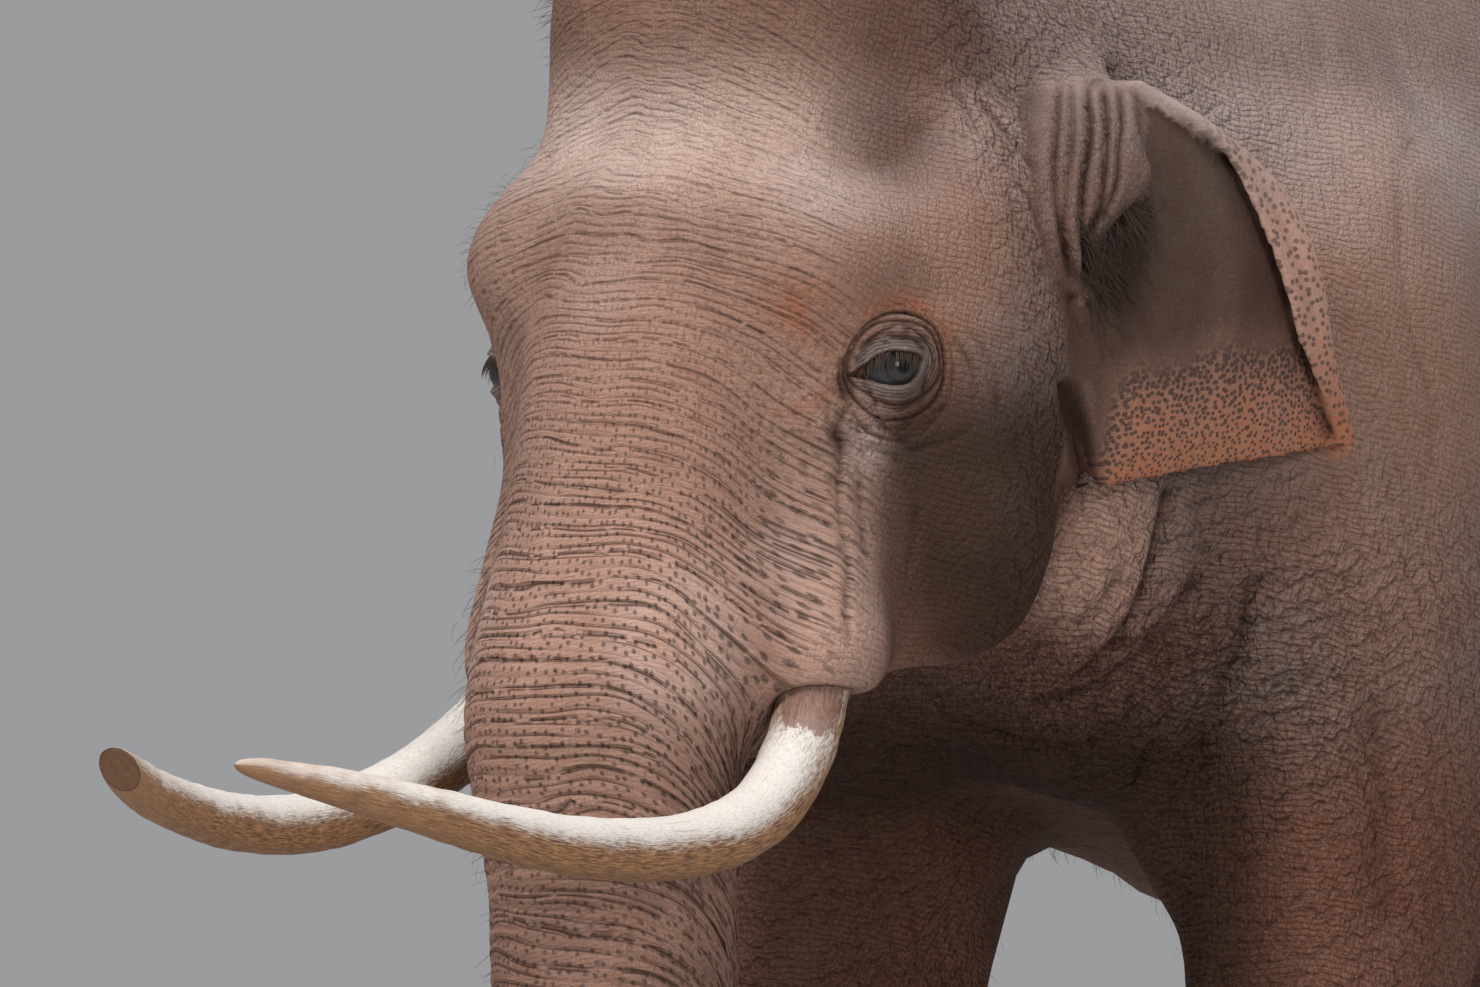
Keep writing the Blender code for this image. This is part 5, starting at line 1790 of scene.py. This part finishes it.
class Ground:
    """The hide as ground for hairs: where roots can stand, and which way is out and down the body."""

    def __init__(self, hide):
        mesh = hide.data
        mesh.calc_loop_triangles()
        count = len(mesh.loop_triangles)
        corners = np.empty(count * 3, np.int32)
        loops = np.empty(count * 3, np.int32)
        mesh.loop_triangles.foreach_get("vertices", corners)
        mesh.loop_triangles.foreach_get("loops", loops)
        flat = np.empty(len(mesh.loops) * 2, np.float32)
        mesh.uv_layers.active.uv.foreach_get("vector", flat)
        self.triangles = places(mesh)[corners.reshape(-1, 3)]
        self.normals = directions(mesh)[corners.reshape(-1, 3)]
        self.unwrap = flat.reshape(-1, 2)[loops.reshape(-1, 3)]
        edge_a = self.triangles[:, 1] - self.triangles[:, 0]
        edge_b = self.triangles[:, 2] - self.triangles[:, 0]
        self.areas = 0.5 * np.linalg.norm(np.cross(edge_a, edge_b), axis=1)
        self.middles = from_face(self.triangles.mean(1))
        self.out = self.normals.mean(1)

    def sown(self, seed, density):
        """Roots with a given number to the square metre: places, directions out, and unwrap."""
        chance = np.random.default_rng(seed)
        wanted = self.areas * density
        counts = np.floor(wanted + chance.random(len(wanted))).astype(int)
        picked = np.repeat(np.arange(len(wanted)), counts)
        shares = chance.dirichlet((1.0, 1.0, 1.0), len(picked))[:, :, None]
        place = (self.triangles[picked] * shares).sum(1)
        out = (self.normals[picked] * shares).sum(1)
        out /= np.linalg.norm(out, axis=1)[:, None]
        unwrap = (self.unwrap[picked] * shares).sum(1)
        return place, out, unwrap, chance


def hair_finish():
    """Stiff dark brown hair, redder with dust in places."""
    f = Finish("hair", Roughness=0.45, IOR=1.50, Specular_IOR_Level=0.2)
    tone = f.noise(f.here(), 9.0, 2.0)
    colour = f.mixed(tone, paint(0.024, 0.016, 0.013), paint(0.075, 0.046, 0.033))
    return f.feed(Base_Color=colour, Roughness=0.50 + tone * 0.2)


def lashes(side, ground, finish):
    """Long lashes that hang from the upper lid over the eye."""
    chance = np.random.default_rng(21)
    gaze, centre = eye_aim(side)
    fore = Vector((side * GAZE.y, -GAZE.x, 0.0)).normalized()
    up = Vector((0.0, 0.0, 1.0))
    shape = bmesh.new()
    patch = shape.verts.layers.float_vector.new("patch")
    edge = refined(LID_EDGE[1:8], 58)
    for index, (ahead, rise) in enumerate(edge):
        ahead += chance.normal(0.0, 0.0008)
        rise += 0.0015 + chance.uniform(0.0, 0.003)
        depth = math.sqrt(max(0.0, 0.0465**2 - ahead**2 - rise**2))
        start = centre + fore * ahead + up * rise + gaze * (depth - 0.0015)
        length = chance.uniform(0.020, 0.037)
        swing = chance.normal(0.0, 0.10) + 0.25
        path = []
        for share in (0.0, 0.25, 0.5, 0.75, 1.0):
            drop = up * (-length * (0.50 * share + 0.34 * share**2))
            away = gaze * (length * (0.62 * share - 0.18 * share**2))
            path.append(tuple(start + drop + away + fore * (length * swing * share)))
        radii = (0.00070, 0.00062, 0.00050, 0.00036, 0.00012)
        rod(shape, patch, path, radii, (index + 0.5) / len(edge) - 0.5, 4)
    bmesh.ops.recalc_face_normals(shape, faces=shape.faces)
    nearest = np.argmin(((ground.triangles.mean(1) - np.array(centre + gaze * 0.045)) ** 2).sum(1))
    lie = ground.unwrap[nearest].mean(0)
    layer = shape.loops.layers.uv.new("OFBake")
    for face in shape.faces:
        for loop in face.loops:
            loop[layer].uv = lie + 0.003 * np.array(loop.vert[patch][:2])
    mesh = mesh_of(shape, "lashes_left" if side > 0 else "lashes_right")
    coated(mesh, finish)
    thing = new_thing(mesh.name, mesh)
    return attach(thing, "root")


def combed(roots, chance, across, back, up, spread):
    """A way to fall for each root: the given one, with chance strays."""
    way = np.stack([np.broadcast_to(part, len(roots)) for part in (across, back, up)], axis=1)
    return way + chance.normal(0, spread, way.shape)


def haired(hide):
    """All the hair: on the head, body and chin, in the ears, the tail's brush and the lashes."""
    unwrapped(hide)
    ground = Ground(hide)
    finish = hair_finish()
    tree, sockets = coat_tree()
    fuzz = (tuft("fuzz a", 1, 2, 0.011, 0.45, 0.25), tuft("fuzz b", 2, 2, 0.011, 0.70, 0.30))
    long = (tuft("long a", 3, 2, 0.0065, 0.35, 0.02), tuft("long b", 4, 2, 0.0065, 0.65, 0.02))
    strands = (tuft("strands a", 5, 3, 0.0045, 0.10, 0.02), tuft("strands b", 6, 2, 0.0045, 0.16, 0.02))
    middles = ground.triangles.mean(1)
    p = ground.middles
    x, y, z = p.T
    open_hide = (1 - near_ear(middles)) * ~near_eye(p, 0.052)
    trunk = on_trunk(p)

    front = ramp(np.abs(trunk_place(p)[0]), 1.60, 1.00) * trunk
    crown = ramp(z, 2.22, 2.42) * ramp(y, 0.45, 0.20)
    brow = ramp(z, 1.98, 2.06) * ramp(z, 2.24, 2.16) * ramp(y, 0.0, -0.08)
    head = ramp(y, 0.40, 0.25) * ramp(z, 0.35, 0.5)
    density = (1900 * crown + 1700 * brow + 320 * front + 160 * head) * open_hide * ~near_eye(p, 0.10)
    place, grow, unwrap, chance = ground.sown(31, density)
    height = place[:, 2]
    tall = ramp(height, 2.22, 2.42)
    length = 0.020 + 0.010 * ramp(height, 1.75, 1.55) + 0.014 * tall
    length = length * chance.uniform(0.55, 1.25, len(length))
    fall = combed(place, chance, 0.0, -0.3 - 0.2 * tall, -1.0 + 0.6 * tall, 0.35)
    lean = grow * 0.9 + 0.45 * fall + chance.normal(0, 0.18, grow.shape)
    coat("coat_head", tree, sockets, fuzz, finish, (place, lean, fall, length, unwrap))

    upper = ramp(ground.out[:, 2], 0.0, 0.8)
    belly = ramp(ground.out[:, 2], -0.3, -0.8) * ramp(z, 0.6, 0.9)
    density = (70 + 120 * upper + 240 * belly) * ramp(y, 0.20, 0.45) * open_hide * ramp(z, 0.06, 0.2)
    place, grow, unwrap, chance = ground.sown(32, density)
    length = chance.uniform(0.012, 0.028, len(place))
    fall = combed(place, chance, 0.0, 0.5, -0.9, 0.3)
    coat("coat_body", tree, sockets, fuzz, finish, (place, grow * 0.8 + 0.7 * fall, fall, length, unwrap))

    chin = ramp(z, 1.52, 1.42) * ramp(z, 1.15, 1.25) * ramp(y, -0.10, -0.02) * ramp(y, 0.62, 0.45)
    chin = chin * (1 - trunk)
    place, grow, unwrap, chance = ground.sown(33, 1500 * chin * open_hide)
    length = chance.uniform(0.025, 0.055, len(place))
    fall = combed(place, chance, 0.0, 0.1, -1.0, 0.25)
    coat("coat_chin", tree, sockets, long, finish, (place, grow + 0.6 * fall, fall, length, unwrap))

    hole = spot(p, (0.420, 0.333, 2.040), (0.030, 0.034, 0.045))
    hole = hole + 0.8 * spot(p, (0.435, 0.365, 2.100), (0.02, 0.03, 0.03))
    place, grow, unwrap, chance = ground.sown(34, 60000 * (hole * ramp(x, 0.385, 0.400)))
    length = chance.uniform(0.030, 0.075, len(place))
    outward = np.where(place[:, 0] < 0, -0.5, 0.5)
    fall = combed(place, chance, outward, 0.25, -0.9, 0.25)
    coat("coat_ears", tree, sockets, long, finish, (place, grow * 0.5 + 0.8 * fall, fall, length, unwrap))

    low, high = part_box("tail_tip")
    middle = (low + high) / 2
    brush = (np.abs(middles[:, 0] - middle.x) < 0.05) * (middles[:, 1] > low.y - 0.06)
    brush = brush * ramp(middles[:, 2], high.z + 0.02, high.z - 0.06) * (middles[:, 2] > low.z)
    place, grow, unwrap, chance = ground.sown(35, 26000.0 * brush)
    length = np.clip(place[:, 2] - low.z, 0.05, 0.24) * chance.uniform(0.75, 1.0, len(place))
    lean = (0.0, 0.05, -1.0) + grow * 0.10 + chance.normal(0, 0.05, grow.shape)
    coat("tail_brush", tree, sockets, strands, finish, (place, lean, grow, length, unwrap))
    for side in (1, -1):
        lashes(side, ground, finish)


# ---------------------------------------------------------------- floor, light and camera


FLOOR_RADIUS = 15.0
# Each lamp's name, place, aim, width, power in watts and colour.
LAMPS = (
    ("key light", (-0.8, -7.6, 7.2), (0.1, -1.0, 1.6), 3.0, 510.0, (1.0, 0.975, 0.945)),
    ("sky light", (0.3, -1.2, 7.5), (0.0, -0.8, 1.5), 7.0, 450.0, (0.98, 0.99, 1.0)),
    ("side light", (7.4, -5.2, 3.6), (0.3, -0.4, 1.6), 3.0, 310.0, (1.0, 0.98, 0.95)),
    ("back light", (2.0, 8.0, 4.5), (0.0, 1.0, 1.6), 4.0, 90.0, (0.96, 0.98, 1.0)),
)
SKY_COLOUR = (0.86, 0.87, 0.90, 1.0)
SKY_STRENGTH = 0.38
CAMERA_TURN = math.radians(35.0)
CAMERA_AWAY = 9.5
CAMERA_RIGHT = 0.069
CAMERA_BELOW_EYES = 0.16
CAMERA_LENS = 180.24


def floor_and_light():
    shape = bmesh.new()
    bmesh.ops.create_circle(shape, cap_ends=True, segments=160, radius=FLOOR_RADIUS)
    mesh = mesh_of(shape, "floor")
    mesh.materials.append(floor_finish())
    new_thing("floor", mesh)
    for name, place, aim, size, power, colour in LAMPS:
        lamp = bpy.data.lights.new(name, "AREA")
        lamp.shape = "DISK"
        lamp.size = size
        lamp.energy = power
        lamp.color = colour
        thing = bpy.data.objects.new(name, lamp)
        thing.location = place
        thing.rotation_euler = (Vector(aim) - Vector(place)).to_track_quat("-Z", "Y").to_euler()
        bpy.context.scene.collection.objects.link(thing)
    world = bpy.data.worlds.new("studio")
    world.use_nodes = True
    background = world.node_tree.nodes["Background"]
    background.inputs["Color"].default_value = SKY_COLOUR
    background.inputs["Strength"].default_value = SKY_STRENGTH
    bpy.context.scene.world = world


def camera():
    """Level, round to the bull's left, and close in on the head."""
    right = Vector((math.cos(CAMERA_TURN), math.sin(CAMERA_TURN), 0.0))
    back = Vector((math.sin(CAMERA_TURN), -math.cos(CAMERA_TURN), 0.0))
    lens = bpy.data.cameras.new("camera")
    lens.sensor_width = 36.0
    lens.lens = CAMERA_LENS
    thing = bpy.data.objects.new("camera", lens)
    middle = Vector((0.0, FACE_PLANE, EYE.z - CAMERA_BELOW_EYES))
    thing.location = middle + right * CAMERA_RIGHT + back * CAMERA_AWAY
    thing.rotation_euler = (math.pi / 2, 0.0, CAMERA_TURN)
    bpy.context.scene.collection.objects.link(thing)
    bpy.context.scene.camera = thing


# ---------------------------------------------------------------- the bull

hide = hide_form()
carved(hide)
thinned(hide)
marked(hide)
coated(hide.data, hide_finish())
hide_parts(*FLESH)
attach(hide, "root")
eye_material = eye_finish()
ivory_material = ivory_finish()
nail_material = nail_finish()
for side in (1, -1):
    eyeball(side, eye_material)
    ivory(side, ivory_material)
for node in NAILS:
    toenail(node, nail_material)
haired(hide)
floor_and_light()
camera()
bpy.context.scene.view_settings.view_transform = "Standard"
